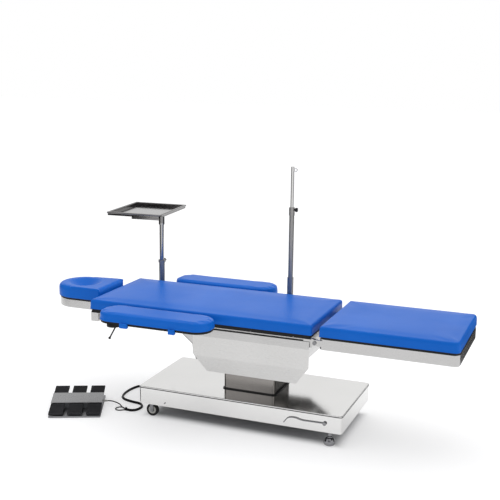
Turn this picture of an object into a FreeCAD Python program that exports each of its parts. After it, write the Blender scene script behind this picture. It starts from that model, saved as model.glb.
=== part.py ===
# Operating table: a base on casters and levelling feet, a three-stage lifting column, a tilting
# head, and a top in three padded sections with arm boards, a tray, a drip pole and a foot switch.
# Millimetres. +X runs towards the leg end, +Y to the rear side, +Z up, and the floor is z = 0.
import FreeCAD, Part
import math
import os

import Sketcher
from FreeCAD import Placement, Rotation, Vector

SIZES = {
    # where the column stands, seen from the middle of the whole object's footprint
    "column_x": 41.5, "column_y": -129.3,
    # base: reach from the column's middle, sheet cover and the welded chassis inside it
    "base_head": 527, "base_leg": 505, "base_half": 246, "base_bottom": 70, "base_depth": 87,
    "cover_wall": 2, "cover_corner": 14, "cover_edge": 3, "rim_depth": 11, "rim_step": 1.5,
    "chassis_step": 4, "chassis_plate": 6, "rail_spread": 150, "rail_width": 44, "rail_height": 54,
    "rail_inset": 30, "fit_gap": 0.3,
    # casters at the head end
    "caster_head": 450, "caster_side": 211, "caster_trail": 19, "wheel_radius": 31, "wheel_half": 10,
    "fork_gap": 1.2, "fork_plate": 3, "fork_reach": 15, "fork_drop": 5, "crown_depth": 4.5,
    "axle_radius": 4, "stem_radius": 6, "stem_rise": 4, "stem_head": 10, "boss_radius": 17,
    # levelling feet at the leg end
    "foot_leg": 441, "foot_side": 216, "foot_radius": 27.5, "foot_neck": 7, "foot_ring": 12,
    "foot_dome": 40, "screw_radius": 8, "screw_rise": 20, "nut_radius": 15, "nut_drop": 6,
    # telescopic column and the lifting cylinder inside it
    "column_length": 262, "column_width": 226, "column_corner": 12, "column_wall": 4,
    "column_step": 8, "column_rise": 195, "stage_space": 4, "collar_height": 4, "collar_margin": 6,
    "barrel_radius": 45, "ram_wall": 8, "ram_floor": 10,
    # tilting head: yoke, cross and saddle
    "tilt_rise": 53, "cross_half": 40, "cross_depth": 22, "trunnion_radius": 12,
    "ear_radius": 18, "ear_thick": 16, "ear_gap": 2, "yoke_plate": 8, "yoke_length": 160,
    "yoke_width": 150, "saddle_plate": 9, "saddle_length": 228, "saddle_width": 190,
    # top: heights shared by the three sections
    "frame_rise": 54, "frame_depth": 50, "board_thick": 8, "pad_thick": 53, "pad_half": 260,
    "pad_edge": 12, "pad_corner": 12, "board_inset": 7,
    # main section
    "main_head": 784, "main_leg": 350, "pad_overhang": 6, "hinge_overhang": 5,
    "flange_half": 252, "flange_thick": 9,
    "flange_width": 60,
    "member_out": 225, "member_width": 20, "cross_near": 80, "cross_width": 30, "end_width": 40,
    "foot_member_half": 235,
    # leg section and its hinge
    "leg_gap": 34, "leg_length": 630, "leg_frame_inset": 4, "leg_corner": 26, "leg_ring": 36,
    "leg_cross": 40, "leg_hinge_drop": 22, "leg_lug_radius": 14, "leg_lug_thick": 8,
    "main_lug_thick": 14, "lug_gap": 1.5, "leg_pin_radius": 5, "pin_head": 9, "pin_head_thick": 4,
    # head section and its hinge
    "head_gap": 28, "head_length": 293, "head_half": 125, "head_corner": 30,
    "head_pad_thick": 66, "head_frame_step": 3, "head_frame_depth": 40,
    "head_board_thick": 7, "head_inset": 7, "head_ring": 28,
    "head_hinge_drop": 7, "head_lug_radius": 8, "head_lug_thick": 12, "head_lug_side": 52,
    "head_pin_radius": 4, "hollow_radius": 84, "hollow_depth": 30, "hollow_inset": 156,
    # arm boards
    "arm_head": 650, "arm_leg": 80, "arm_rear_shift": 40, "arm_space": 25, "arm_width": 165,
    "arm_corner": 76,
    "arm_board_rise": 8, "arm_board_thick": 8, "arm_pivot": 590, "bracket_half": 34,
    "bracket_thick": 14, "bracket_drop": 0.5, "arm_boss_radius": 20, "arm_pin_radius": 7,
    "arm_pin_rise": 7.5, "lever_from_pivot": 20, "lever_side": 300, "lever_hub": 11,
    "lever_hub_depth": 16, "lever_rod": 3.6, "lever_reach": 44, "lever_drop": 78, "lever_ball": 6.5,
    # thin sheet skirts and the cowl round the tilting head
    "sheet": 2, "skirt_side": 243, "skirt_head": 237, "skirt_leg": 340, "skirt_rear_short": 30,
    "skirt_rear_cut": 110,
    "skirt_rise": 26, "skirt_crease_drop": 9, "skirt_lean": 4, "skirt_fold_drop": 107,
    "skirt_drop": 183, "skirt_tuck": 14, "skirt_cut_head": 68, "skirt_cut_leg": 64,
    "skirt_shoulder_drop": 97, "skirt_boss": 8, "skirt_boss_inset": 40, "skirt_boss_rise": 4,
    "cowl_half": 215, "cowl_drop": 137, "cowl_open_length": 324, "cowl_open_width": 286,
    "cowl_high_drop": 32, "cowl_middle_drop": 63, "cowl_low_drop": 103,
    "cowl_head_top": 90, "cowl_head_high": 54, "cowl_head_middle": 16, "cowl_head_low": 11,
    "cowl_head_foot": 4, "cowl_leg_top": 45, "cowl_leg_high": 56, "cowl_leg_middle": 66,
    "cowl_leg_low": 72, "cowl_leg_foot": 82,
    # drip pole and tray pole with their sockets
    "drip_x": 62, "drip_side": 290, "socket_depth": 13, "socket_floor": 8,
    "drip_socket_rise": 136, "drip_socket_radius": 16, "drip_tube_radius": 12.5,
    "drip_tube_length": 360, "drip_collar": 40, "drip_collar_radius": 14.5, "drip_rod_radius": 8,
    "drip_rod_depth": 225, "drip_rod_rise": 205,
    "hook_drop": 16, "hook_ring": 8, "hook_rod": 2.2,
    "tray_x": 692, "tray_side": 335, "tray_socket_rise": 151, "tray_socket_radius": 16,
    "tray_collar_radius": 19, "tray_collar": 14, "tray_rod_radius": 12, "tray_rod_depth": 100,
    "tray_stop": 8, "tray_rise": 247, "tray_rim": 20, "tray_length": 384, "tray_width": 306,
    "tray_offset": 8, "tray_turn": 4.5, "tray_sheet": 2, "tray_bead": 5, "tray_boss": 12, "tray_hub_radius": 16,
    "tray_hub_depth": 24, "tray_bar": 11, "tray_bar_width": 26, "tray_bar_length": 170,
    "knob_radius": 11, "knob_depth": 11, "knob_stem": 4, "knob_stem_length": 4,
    # foot switch, in its own corner's frame: width along X, depth along Y
    "switch_x": -920, "switch_y": -450, "switch_turn": 25, "switch_width": 254,
    "switch_depth": 290, "switch_plate": 9, "switch_corner": 6, "pedal_count": 3, "pedal_width": 70,
    "pedal_pitch": 91, "pedal_front": 22.5, "pedal_slope": 0.138, "pedal_thick": 8,
    "rib_count": 9, "rib_pitch": 9, "rib_width": 3, "rib_rise": 1.2, "rib_inset": 9,
    "pedal_nose": 5, "pedal_margin": 2, "nose_gap": 0.5, "nose_inset": 1, "housing_inset": 2,
    "bar_front": 101, "bar_back": 203, "bar_rise": 5, "bar_thick": 4, "relief_depth": 178,
    "relief_height": 20, "relief_length": 22, "relief_root": 6.5, "relief_tip": 4.2,
    # cord
    "cord_radius": 3, "cord_lift": 3.2, "hank_radius": 8, "gland_side": 184, "gland_rise": 42,
    "gland_length": 18, "gland_root": 9, "gland_tip": 6, "gland_nut": 11, "gland_nut_depth": 6,
    # pump unit inside the base
    "pump_head": 340, "pump_length": 170, "pump_width": 120, "pump_height": 44, "motor_radius": 26,
    "motor_length": 150,
}

doc = FreeCAD.newDocument("operating_table")
sheet = doc.addObject("Spreadsheet::Sheet", "dims")
for row, (alias, amount) in enumerate(SIZES.items(), start=1):
    sheet.set(f"A{row}", alias)
    sheet.set(f"B{row}", str(amount))
    sheet.setAlias(f"B{row}", alias)
doc.recompute()


def number_of(value):
    return value.number if isinstance(value, Size) else float(value)


def formula_of(value):
    return value.formula if isinstance(value, Size) else f"({float(value)})"


class Size:
    """A number together with the sheet formula that gives it."""

    def __init__(self, formula, number):
        self.formula = formula
        self.number = float(number)

    def combine(self, left, sign, right, number):
        return Size(f"({formula_of(left)} {sign} {formula_of(right)})", number)

    def __add__(self, other):
        return self.combine(self, "+", other, self.number + number_of(other))

    def __radd__(self, other):
        return self.combine(other, "+", self, number_of(other) + self.number)

    def __sub__(self, other):
        return self.combine(self, "-", other, self.number - number_of(other))

    def __rsub__(self, other):
        return self.combine(other, "-", self, number_of(other) - self.number)

    def __mul__(self, other):
        return self.combine(self, "*", other, self.number * number_of(other))

    def __rmul__(self, other):
        return self.combine(other, "*", self, number_of(other) * self.number)

    def __truediv__(self, other):
        return self.combine(self, "/", other, self.number / number_of(other))

    def __neg__(self):
        return self.combine(0, "-", self, -self.number)


class Dims:
    """The sheet's cells by name, read from the sheet itself."""

    def __getattr__(self, alias):
        return Size(f"dims.{alias}", sheet.get(alias))


def smaller(first, second):
    """The smaller of two sizes, as a formula and as a number."""
    return Size(f"min({formula_of(first)}; {formula_of(second)})",
                min(number_of(first), number_of(second)))


d = Dims()
# Heights that follow from one another, from the floor up
d.base_top = d.base_bottom + d.base_depth
d.chassis_floor = d.base_bottom + d.chassis_step
d.chassis_top = d.chassis_floor + d.chassis_plate
d.fork_top = d.chassis_floor - d.fork_drop
d.stem_top = d.chassis_top + d.stem_rise
d.screw_top = d.chassis_top + d.screw_rise
d.nut_bottom = d.chassis_floor - d.nut_drop
d.gland_height = d.base_bottom + d.gland_rise
d.column_top = d.base_top + d.column_rise
d.tilt_height = d.column_top + d.tilt_rise
d.frame_bottom = d.tilt_height + d.frame_rise
d.frame_top = d.frame_bottom + d.frame_depth
d.pad_top = d.frame_top + d.board_thick + d.pad_thick
d.leg_hinge_height = d.frame_top - d.leg_hinge_drop
d.head_frame_top = d.frame_top + d.head_frame_step
d.head_frame_bottom = d.head_frame_top - d.head_frame_depth
d.head_hinge_height = d.head_frame_top - d.head_hinge_drop
d.head_rise = d.head_frame_top + d.head_board_thick + d.head_pad_thick
d.hollow_centre = d.main_head + d.head_gap + d.hollow_inset
d.arm_inner = d.pad_half + d.arm_space
d.arm_board_bottom = d.frame_top + d.arm_board_rise
d.arm_pad_bottom = d.arm_board_bottom + d.arm_board_thick
d.skirt_top = d.frame_bottom + d.skirt_rise
d.skirt_crease = d.frame_bottom - d.skirt_crease_drop
d.skirt_fold = d.frame_bottom - d.skirt_fold_drop
d.skirt_shoulder = d.frame_bottom - d.skirt_shoulder_drop
d.skirt_bottom = d.frame_bottom - d.skirt_drop
d.cowl_bottom = d.frame_bottom - d.cowl_drop
d.socket_bottom = d.frame_top - d.flange_thick - d.socket_depth
d.drip_socket_top = d.frame_top + d.drip_socket_rise
d.drip_tube_top = d.drip_socket_top + d.drip_tube_length
d.drip_rod_bottom = d.drip_tube_top - d.drip_rod_depth
d.drip_top = d.drip_tube_top + d.drip_rod_rise
d.tray_socket_top = d.frame_top + d.tray_socket_rise
d.tray_rod_bottom = d.tray_socket_top - d.tray_rod_depth
d.tray_top = d.tray_socket_top + d.tray_rise
nodes = []
corner_places = {}


def bind(thing, prop, value):
    thing.setExpression(prop, formula_of(value))


def put(thing, x, y, z):
    """Places a thing at a point, and remembers it for a thing that becomes a node."""
    corner_places[thing.Name] = (x, y, z)
    bind(thing, "Placement.Base.x", x)
    bind(thing, "Placement.Base.y", y)
    bind(thing, "Placement.Base.z", z)


def node(name, thing, at=(0, 0, 0), turn=None, angle=None):
    """Names a finished sub-part and moves it from the column's frame to the object's own."""
    thing.Label = name
    if turn is not None:
        thing.Placement = Placement(Vector(), turn)
    if angle is not None:
        thing.Placement = Placement(Vector(), Rotation(Vector(0, 0, 1), angle.number))
        bind(thing, "Placement.Rotation.Angle", angle)
    x, y, z = corner_places.get(thing.Name, at)
    bind(thing, "Placement.Base.x", d.column_x + x)
    bind(thing, "Placement.Base.y", d.column_y + y)
    bind(thing, "Placement.Base.z", z)
    nodes.append(thing)
    return thing


# Part primitives and booleans
TURNS = {"x": Rotation(Vector(0, 1, 0), 90), "y": Rotation(Vector(1, 0, 0), -90), "z": Rotation()}


def box(name, x, y, z):
    """A block from pairs of low and high values."""
    piece = doc.addObject("Part::Box", name)
    bind(piece, "Length", x[1] - x[0])
    bind(piece, "Width", y[1] - y[0])
    bind(piece, "Height", z[1] - z[0])
    put(piece, x[0], y[0], z[0])
    return piece


def rod(name, axis, radius, start, length):
    """A round bar from the middle of its first end along X, Y or Z."""
    piece = doc.addObject("Part::Cylinder", name)
    bind(piece, "Radius", radius)
    bind(piece, "Height", length)
    piece.Placement = Placement(Vector(), TURNS[axis])
    put(piece, *start)
    return piece


def taper(name, axis, root, tip, start, length):
    piece = doc.addObject("Part::Cone", name)
    bind(piece, "Radius1", root)
    bind(piece, "Radius2", tip)
    bind(piece, "Height", length)
    piece.Placement = Placement(Vector(), TURNS[axis])
    put(piece, *start)
    return piece


def join(name, pieces):
    whole = doc.addObject("Part::MultiFuse", name)
    whole.Shapes = pieces
    whole.Refine = True
    return whole


def group(name, pieces):
    whole = doc.addObject("Part::Compound", name)
    whole.Links = pieces
    return whole


def trim(name, base, tools):
    tool = tools[0] if len(tools) == 1 else join(f"{name}_tools", tools)
    whole = doc.addObject("Part::Cut", name)
    whole.Base = base
    whole.Tool = tool
    return whole


# Sketches and PartDesign features
ROLES = {"xy": "XY_Plane", "xz": "XZ_Plane", "yz": "YZ_Plane"}
FACING = {"xy": 1, "xz": -1, "yz": 1}


def new_body(name):
    return doc.addObject("PartDesign::Body", name)


def new_sketch(body, name, plane, offset=0):
    """A sketch on one of the body's origin planes, moved along the plane's world axis."""
    sketch = body.newObject("Sketcher::SketchObject", name)
    support = next(f for f in body.Origin.OriginFeatures if f.Role == ROLES[plane])
    sketch.AttachmentSupport = [(support, "")]
    sketch.MapMode = "FlatFace"
    bind(sketch, "AttachmentOffset.Base.z", offset * FACING[plane])
    return sketch


def hold(sketch, line, point, x, y):
    """Fixes a point of the sketch at two sheet formulas, measured from the sketch's origin."""
    for kind, value, axis in (("DistanceX", x, -2), ("DistanceY", y, -1)):
        amount = number_of(value)
        if abs(amount) < 1e-9:
            sketch.addConstraint(Sketcher.Constraint("PointOnObject", line, point, axis))
            continue
        if amount > 0:
            limit = Sketcher.Constraint(kind, -1, 1, line, point, amount)
            index = sketch.addConstraint(limit)
            bind(sketch, f"Constraints[{index}]", value)
        else:
            limit = Sketcher.Constraint(kind, line, point, -1, 1, -amount)
            index = sketch.addConstraint(limit)
            bind(sketch, f"Constraints[{index}]", -1 * value)


def flat(x, y):
    return Vector(number_of(x), number_of(y), 0)


def draw_corners(sketch, corners):
    """A closed outline of straight lines."""
    count = len(corners)
    for index in range(count):
        start, end = corners[index], corners[(index + 1) % count]
        sketch.addGeometry(Part.LineSegment(flat(*start), flat(*end)), False)
    for index in range(count):
        following = (index + 1) % count
        sketch.addConstraint(Sketcher.Constraint("Coincident", index, 2, following, 1))
    for index, (x, y) in enumerate(corners):
        hold(sketch, index, 1, x, y)


def draw_rounded(sketch, x, y, radius):
    """A rectangle with four round corners of one radius."""
    left, right, low, high = x[0], x[1], y[0], y[1]
    runs = [((left + radius, low), (right - radius, low)), ((right, low + radius), (right, high - radius)),
            ((right - radius, high), (left + radius, high)), ((left, high - radius), (left, low + radius))]
    middles = [(right - radius, low + radius), (right - radius, high - radius),
               (left + radius, high - radius), (left + radius, low + radius)]
    for start, end in runs:
        sketch.addGeometry(Part.LineSegment(flat(*start), flat(*end)), False)
    for index, middle in enumerate(middles):
        circle = Part.Circle(flat(*middle), Vector(0, 0, 1), number_of(radius))
        first = math.pi * (index - 1) / 2
        sketch.addGeometry(Part.ArcOfCircle(circle, first, first + math.pi / 2), False)
    for index, (start, end) in enumerate(runs):
        hold(sketch, index, 1, *start)
        hold(sketch, index, 2, *end)
        arc = len(runs) + index
        sketch.addConstraint(Sketcher.Constraint("Coincident", index, 2, arc, 1))
        sketch.addConstraint(Sketcher.Constraint("Coincident", arc, 2, (index + 1) % 4, 1))


def draw_head(sketch, flat_x, round_x, half, corner):
    """The head rest's outline: a half-round end towards -X and a straight end with round corners."""
    runs = [((round_x, -1 * half), (flat_x - corner, -1 * half)),
            ((flat_x, corner - half), (flat_x, half - corner)),
            ((flat_x - corner, half), (round_x, half))]
    for start, end in runs:
        sketch.addGeometry(Part.LineSegment(flat(*start), flat(*end)), False)
    bends = [(flat_x - corner, corner - half, corner, -math.pi / 2, 0),
             (flat_x - corner, half - corner, corner, 0, math.pi / 2),
             (round_x, 0, half, math.pi / 2, 3 * math.pi / 2)]
    for x, y, radius, first, last in bends:
        circle = Part.Circle(flat(x, y), Vector(0, 0, 1), number_of(radius))
        sketch.addGeometry(Part.ArcOfCircle(circle, first, last), False)
    for index, (start, end) in enumerate(runs):
        hold(sketch, index, 1, *start)
        hold(sketch, index, 2, *end)
        bend = len(runs) + index
        sketch.addConstraint(Sketcher.Constraint("Coincident", index, 2, bend, 1))
        sketch.addConstraint(Sketcher.Constraint("Coincident", bend, 2, (index + 1) % 3, 1))


def extrude(body, name, plane, span, draw, cut=False):
    """Pads or pockets a drawn outline between two values on the plane's world axis."""
    low, high = span
    near = low if (FACING[plane] > 0) != cut else high
    sketch = new_sketch(body, f"{name}_outline", plane, near)
    draw(sketch)
    feature = body.newObject("PartDesign::Pocket" if cut else "PartDesign::Pad", name)
    feature.Profile = sketch
    bind(feature, "Length", high - low)
    return feature


def round_top(body, name, base, radius, height):
    """Rounds the outer edges that lie wholly at one height."""
    doc.recompute()
    level = number_of(height)
    picked = []
    for index, edge in enumerate(base.Shape.Edges, start=1):
        bounds = edge.BoundBox
        if abs(bounds.ZMin - level) < 1e-4 and abs(bounds.ZMax - level) < 1e-4:
            picked.append(f"Edge{index}")
    fillet = body.newObject("PartDesign::Fillet", name)
    fillet.Base = (base, picked)
    bind(fillet, "Radius", radius)
    return fillet


def lathe(name, profile):
    """A body turned about Z from a closed outline of radius and height."""
    body = new_body(name)
    sketch = new_sketch(body, f"{name}_profile", "xz")
    draw_corners(sketch, profile)
    turned = body.newObject("PartDesign::Revolution", f"{name}_turned")
    turned.Profile = sketch
    turned.ReferenceAxis = (sketch, ["V_Axis"])
    turned.Angle = 360
    return body


def square_tube(name, half_x, half_y, corner, wall, span, roof=None):
    """A rounded box tube, with a closed roof where one is asked for."""
    body = new_body(name)
    bore_top = span[1] if roof is None else span[1] - roof
    extrude(body, f"{name}_outer", "xy", span,
            lambda s: draw_rounded(s, (-1 * half_x, half_x), (-1 * half_y, half_y), corner))
    inner_x, inner_y = half_x - wall, half_y - wall
    extrude(body, f"{name}_bore", "xy", (span[0], bore_top),
            lambda s: draw_rounded(s, (-1 * inner_x, inner_x), (-1 * inner_y, inner_y), corner - wall),
            cut=True)
    return body


# Base
cover_x = (-1 * d.base_head, d.base_leg)
cover_y = (-1 * d.base_half, d.base_half)
inside_x = (cover_x[0] + d.cover_wall, cover_x[1] - d.cover_wall)
inside_y = (cover_y[0] + d.cover_wall, cover_y[1] - d.cover_wall)
stage_half_x = [d.column_length / 2 - d.column_step * stage for stage in range(3)]
stage_half_y = [d.column_width / 2 - d.column_step * stage for stage in range(3)]
stage_corner = [d.column_corner - 2 * stage for stage in range(3)]
caster_spots = {"front": -1 * d.caster_side, "rear": d.caster_side}
foot_spots = {"front": -1 * d.foot_side, "rear": d.foot_side}


def make_base_cover():
    """Stainless cover, open below, with a rolled rim and an opening for the column."""
    body = new_body("base_cover")
    extrude(body, "cover_sides", "xy", (d.base_bottom, d.base_top),
            lambda s: draw_rounded(s, cover_x, cover_y, d.cover_corner))
    rim_x = (cover_x[0] - d.rim_step, cover_x[1] + d.rim_step)
    rim_y = (cover_y[0] - d.rim_step, cover_y[1] + d.rim_step)
    rim = extrude(body, "cover_rim", "xy", (d.base_top - d.rim_depth, d.base_top),
                  lambda s: draw_rounded(s, rim_x, rim_y, d.cover_corner + d.rim_step))
    round_top(body, "cover_top_edge", rim, d.cover_edge, d.base_top)
    extrude(body, "cover_hollow", "xy", (d.base_bottom, d.base_top - d.cover_wall),
            lambda s: draw_rounded(s, inside_x, inside_y, d.cover_corner - d.cover_wall), cut=True)
    hole_x = stage_half_x[2] + d.fit_gap
    hole_y = stage_half_y[2] + d.fit_gap
    extrude(body, "cover_column_hole", "xy", (d.base_top - d.cover_wall, d.base_top),
            lambda s: draw_rounded(s, (-1 * hole_x, hole_x), (-1 * hole_y, hole_y), stage_corner[2]),
            cut=True)
    node("base_cover", body)


def make_base_chassis():
    """Floor plate with two box rails, caster bosses and threaded bosses for the levelling feet."""
    body = new_body("chassis_frame")
    extrude(body, "chassis_floor", "xy", (d.chassis_floor, d.chassis_top),
            lambda s: draw_rounded(s, inside_x, inside_y, d.cover_corner - d.cover_wall))
    for side, sign in (("front", -1), ("rear", 1)):
        middle = sign * d.rail_spread
        across = (middle - d.rail_width / 2, middle + d.rail_width / 2)
        along = (inside_x[0] + d.rail_inset, inside_x[1] - d.rail_inset)
        extrude(body, f"chassis_rail_{side}", "xy", (d.chassis_top, d.chassis_top + d.rail_height),
                lambda s: draw_corners(s, [(along[0], across[0]), (along[1], across[0]),
                                           (along[1], across[1]), (along[0], across[1])]))
    added, removed = [body], []
    boss_bottom = d.fork_top + d.fit_gap
    for side, y in caster_spots.items():
        spot = (-1 * d.caster_head, y)
        added.append(rod(f"caster_boss_{side}", "z", d.boss_radius, (*spot, boss_bottom),
                         d.chassis_floor - boss_bottom))
        removed.append(rod(f"caster_bore_{side}", "z", d.stem_radius + d.fit_gap, (*spot, boss_bottom - 1),
                           d.chassis_top - boss_bottom + 2))
    for side, y in foot_spots.items():
        added.append(rod(f"foot_boss_{side}", "z", d.nut_radius, (d.foot_leg, y, d.nut_bottom),
                         d.chassis_floor - d.nut_bottom))
        removed.append(rod(f"foot_bore_{side}", "z", d.screw_radius + d.fit_gap,
                           (d.foot_leg, y, d.nut_bottom - 1), d.chassis_top - d.nut_bottom + 2))
    node("base_chassis", trim("base_chassis", join("chassis_with_bosses", added), removed))


def make_pump_unit():
    """Motor and pump on a tank, on the chassis plate between the rails."""
    middle = -1 * d.pump_head
    tank = box("pump_tank", (middle - d.pump_length / 2, middle + d.pump_length / 2),
               (-1 * d.pump_width / 2, d.pump_width / 2), (d.chassis_top, d.chassis_top + d.pump_height))
    motor = rod("pump_motor", "x", d.motor_radius,
                (middle - d.motor_length / 2, 0, d.chassis_top + d.pump_height), d.motor_length)
    node("pump_unit", join("pump_unit", [tank, motor]))


def make_casters():
    """Swivel fork with its stem and axle, and a wheel turned from its profile, on each side."""
    axle_x = -1 * d.caster_trail
    inner = d.wheel_half + d.fork_gap
    crown_bottom = d.fork_top - d.crown_depth
    for side, y in caster_spots.items():
        crown = box(f"fork_crown_{side}", (axle_x - d.fork_reach, d.fork_reach),
                    (-1 * inner - d.fork_plate, inner + d.fork_plate), (crown_bottom, d.fork_top))
        pieces = [crown]
        for name, sign in (("near", -1), ("far", 1)):
            low = -1 * inner - d.fork_plate if sign < 0 else inner
            leg_x = (axle_x - d.stem_radius * 1.5, axle_x + d.stem_radius * 1.5)
            pieces.append(box(f"fork_leg_{name}_{side}", leg_x, (low, low + d.fork_plate),
                              (d.wheel_radius, crown_bottom + d.crown_depth / 2)))
            pieces.append(rod(f"fork_eye_{name}_{side}", "y", d.stem_radius * 1.5,
                              (axle_x, low, d.wheel_radius), d.fork_plate))
        pieces.append(rod(f"axle_{side}", "y", d.axle_radius, (axle_x, -1 * inner - d.fork_plate - 2,
                                                               d.wheel_radius),
                          2 * (inner + d.fork_plate + 2)))
        pieces.append(rod(f"stem_{side}", "z", d.stem_radius, (0, 0, crown_bottom),
                          d.stem_top - crown_bottom))
        pieces.append(rod(f"stem_head_{side}", "z", d.stem_head, (0, 0, d.chassis_top + d.fit_gap),
                          d.stem_top - d.chassis_top - d.fit_gap))
        at = (-1 * d.caster_head, y, 0)
        node(f"caster_fork_{side}", join(f"caster_fork_{side}", pieces), at)
        bore = d.axle_radius + d.fit_gap
        half = d.wheel_half
        tread = d.wheel_radius
        wheel = lathe(f"caster_wheel_{side}", [
            (bore, -1 * half), (bore + 6, -1 * half), (bore + 8, -0.5 * half), (tread - 10, -0.5 * half),
            (tread - 8, -1 * half), (tread - 2.5, -1 * half), (tread, -0.7 * half), (tread, 0.7 * half),
            (tread - 2.5, half), (tread - 8, half), (tread - 10, 0.5 * half), (bore + 8, 0.5 * half),
            (bore + 6, half), (bore, half)])
        wheel_at = (-1 * d.caster_head - d.caster_trail, y, d.wheel_radius)
        node(f"caster_wheel_{side}", wheel, wheel_at, turn=TURNS["y"])


def make_feet():
    """Levelling foot: a domed pad on a threaded stem that turns in the chassis boss."""
    for side, y in foot_spots.items():
        foot = lathe(f"levelling_foot_{side}", [
            (0, 0), (d.foot_radius * 0.66, 0), (d.foot_radius * 0.86, d.foot_dome * 0.1),
            (d.foot_radius * 0.97, d.foot_dome * 0.24), (d.foot_radius, d.foot_dome * 0.4),
            (d.foot_radius * 0.96, d.foot_dome * 0.58), (d.foot_radius * 0.84, d.foot_dome * 0.76),
            (d.foot_radius * 0.66, d.foot_dome * 0.9), (d.foot_ring, d.foot_dome * 0.98),
            (d.foot_ring, d.foot_dome * 1.06), (d.foot_neck, d.foot_dome * 1.1),
            (d.foot_neck, d.foot_dome * 1.2), (d.screw_radius, d.foot_dome * 1.22),
            (d.screw_radius, d.screw_top), (0, d.screw_top)])
        node(f"levelling_foot_{side}", foot, (d.foot_leg, y, 0))


# Lifting column
collar_top = d.base_top + d.collar_height
sleeve_bottom = collar_top + d.fit_gap
outer_roof = d.column_top - d.column_wall
middle_top = outer_roof - d.stage_space
guide_top = middle_top - d.stage_space


def make_column():
    """Collar, fixed guide, middle stage and the closed outer stage that carries the head."""
    body = new_body("column_collar")
    rim_x, rim_y = stage_half_x[0] + d.collar_margin, stage_half_y[0] + d.collar_margin
    extrude(body, "collar_ring", "xy", (d.base_top, collar_top),
            lambda s: draw_rounded(s, (-1 * rim_x, rim_x), (-1 * rim_y, rim_y), stage_corner[0] + 4))
    extrude(body, "collar_hole", "xy", (d.base_top, collar_top),
            lambda s: draw_rounded(s, (-1 * stage_half_x[2], stage_half_x[2]),
                                   (-1 * stage_half_y[2], stage_half_y[2]), stage_corner[2]), cut=True)
    node("column_collar", body)
    node("guide_column", square_tube("guide_column", stage_half_x[2], stage_half_y[2], stage_corner[2],
                                     d.column_wall, (d.chassis_top, guide_top)))
    node("column_middle", square_tube("column_middle", stage_half_x[1], stage_half_y[1],
                                      stage_corner[1], d.column_wall, (sleeve_bottom, middle_top)))
    node("column_outer", square_tube("column_outer", stage_half_x[0], stage_half_y[0], stage_corner[0],
                                     d.column_wall, (sleeve_bottom, d.column_top), d.column_wall))


def make_lift():
    """Two-stage cylinder: a barrel on the chassis, a hollow ram and the top ram."""
    ram_radius = d.barrel_radius - d.ram_wall
    top_radius = ram_radius - d.ram_wall
    barrel_top = guide_top - 2 * d.stage_space
    floor = d.chassis_top + d.ram_floor
    foot = box("barrel_foot", (-1.3 * d.barrel_radius, 1.3 * d.barrel_radius),
               (-1.3 * d.barrel_radius, 1.3 * d.barrel_radius), (d.chassis_top, floor))
    barrel = rod("barrel", "z", d.barrel_radius, (0, 0, d.chassis_top), barrel_top - d.chassis_top)
    barrel_bore = rod("barrel_bore", "z", ram_radius + d.fit_gap, (0, 0, floor), barrel_top - floor + 1)
    node("lift_cylinder", trim("lift_cylinder", join("barrel_with_foot", [barrel, foot]), [barrel_bore]))
    ram_bottom = floor + d.fit_gap
    ram = rod("ram", "z", ram_radius, (0, 0, ram_bottom), guide_top - ram_bottom)
    ram_floor = ram_bottom + d.ram_floor
    ram_bore = rod("ram_bore", "z", top_radius + d.fit_gap, (0, 0, ram_floor), guide_top - ram_floor + 1)
    node("lift_ram_middle", trim("lift_ram_middle", ram, [ram_bore]))
    top_bottom = ram_floor + d.fit_gap
    node("lift_ram_top", rod("lift_ram_top", "z", top_radius, (0, 0, top_bottom), outer_roof - top_bottom))


# Tilting head
ear_inner = d.cross_half + d.ear_gap
ear_outer = ear_inner + d.ear_thick
trunnion_reach = ear_outer + d.ear_gap


def ears(name, axis, root, up):
    """Two round-ended ears with their bores, standing up from or hanging below a plate."""
    added, removed = [], []
    centre = d.tilt_height
    low, high = (root, centre) if up else (centre, root)
    for side, sign in (("low", -1), ("high", 1)):
        start = ear_inner if sign > 0 else -1 * ear_outer
        across = (-1 * d.ear_radius, d.ear_radius)
        through = (start, start + d.ear_thick)
        x, y = (across, through) if axis == "y" else (through, across)
        added.append(box(f"{name}_ear_{side}", x, y, (low, high)))
        spot = (0, start, centre) if axis == "y" else (start, 0, centre)
        added.append(rod(f"{name}_eye_{side}", axis, d.ear_radius, spot, d.ear_thick))
        removed.append(rod(f"{name}_bore_{side}", axis, d.trunnion_radius + d.fit_gap, spot, d.ear_thick))
    return added, removed


def make_tilting_head():
    """Yoke on the column, cross with four trunnions, and the saddle under the top's frame."""
    yoke_top = d.column_top + d.yoke_plate
    plate = box("yoke_plate", (-1 * d.yoke_length / 2, d.yoke_length / 2),
                (-1 * d.yoke_width / 2, d.yoke_width / 2), (d.column_top, yoke_top))
    added, removed = ears("yoke", "y", yoke_top, up=True)
    node("tilt_yoke", trim("tilt_yoke", join("yoke_body", [plate] + added), removed))
    block = box("cross_block", (-1 * d.cross_half, d.cross_half), (-1 * d.cross_half, d.cross_half),
                (d.tilt_height - d.cross_depth, d.tilt_height + d.cross_depth))
    pins = [rod(f"trunnion_{axis}", axis, d.trunnion_radius,
                tuple(-1 * trunnion_reach if axis == other else (d.tilt_height if other == "z" else 0)
                      for other in "xyz"), 2 * trunnion_reach) for axis in "xy"]
    node("tilt_cross", join("tilt_cross", [block] + pins))
    saddle_bottom = d.frame_bottom - d.saddle_plate
    plate = box("saddle_plate", (-1 * d.saddle_length / 2, d.saddle_length / 2),
                (-1 * d.saddle_width / 2, d.saddle_width / 2), (saddle_bottom, d.frame_bottom))
    added, removed = ears("saddle", "x", saddle_bottom, up=False)
    node("table_saddle", trim("table_saddle", join("saddle_body", [plate] + added), removed))


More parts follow.
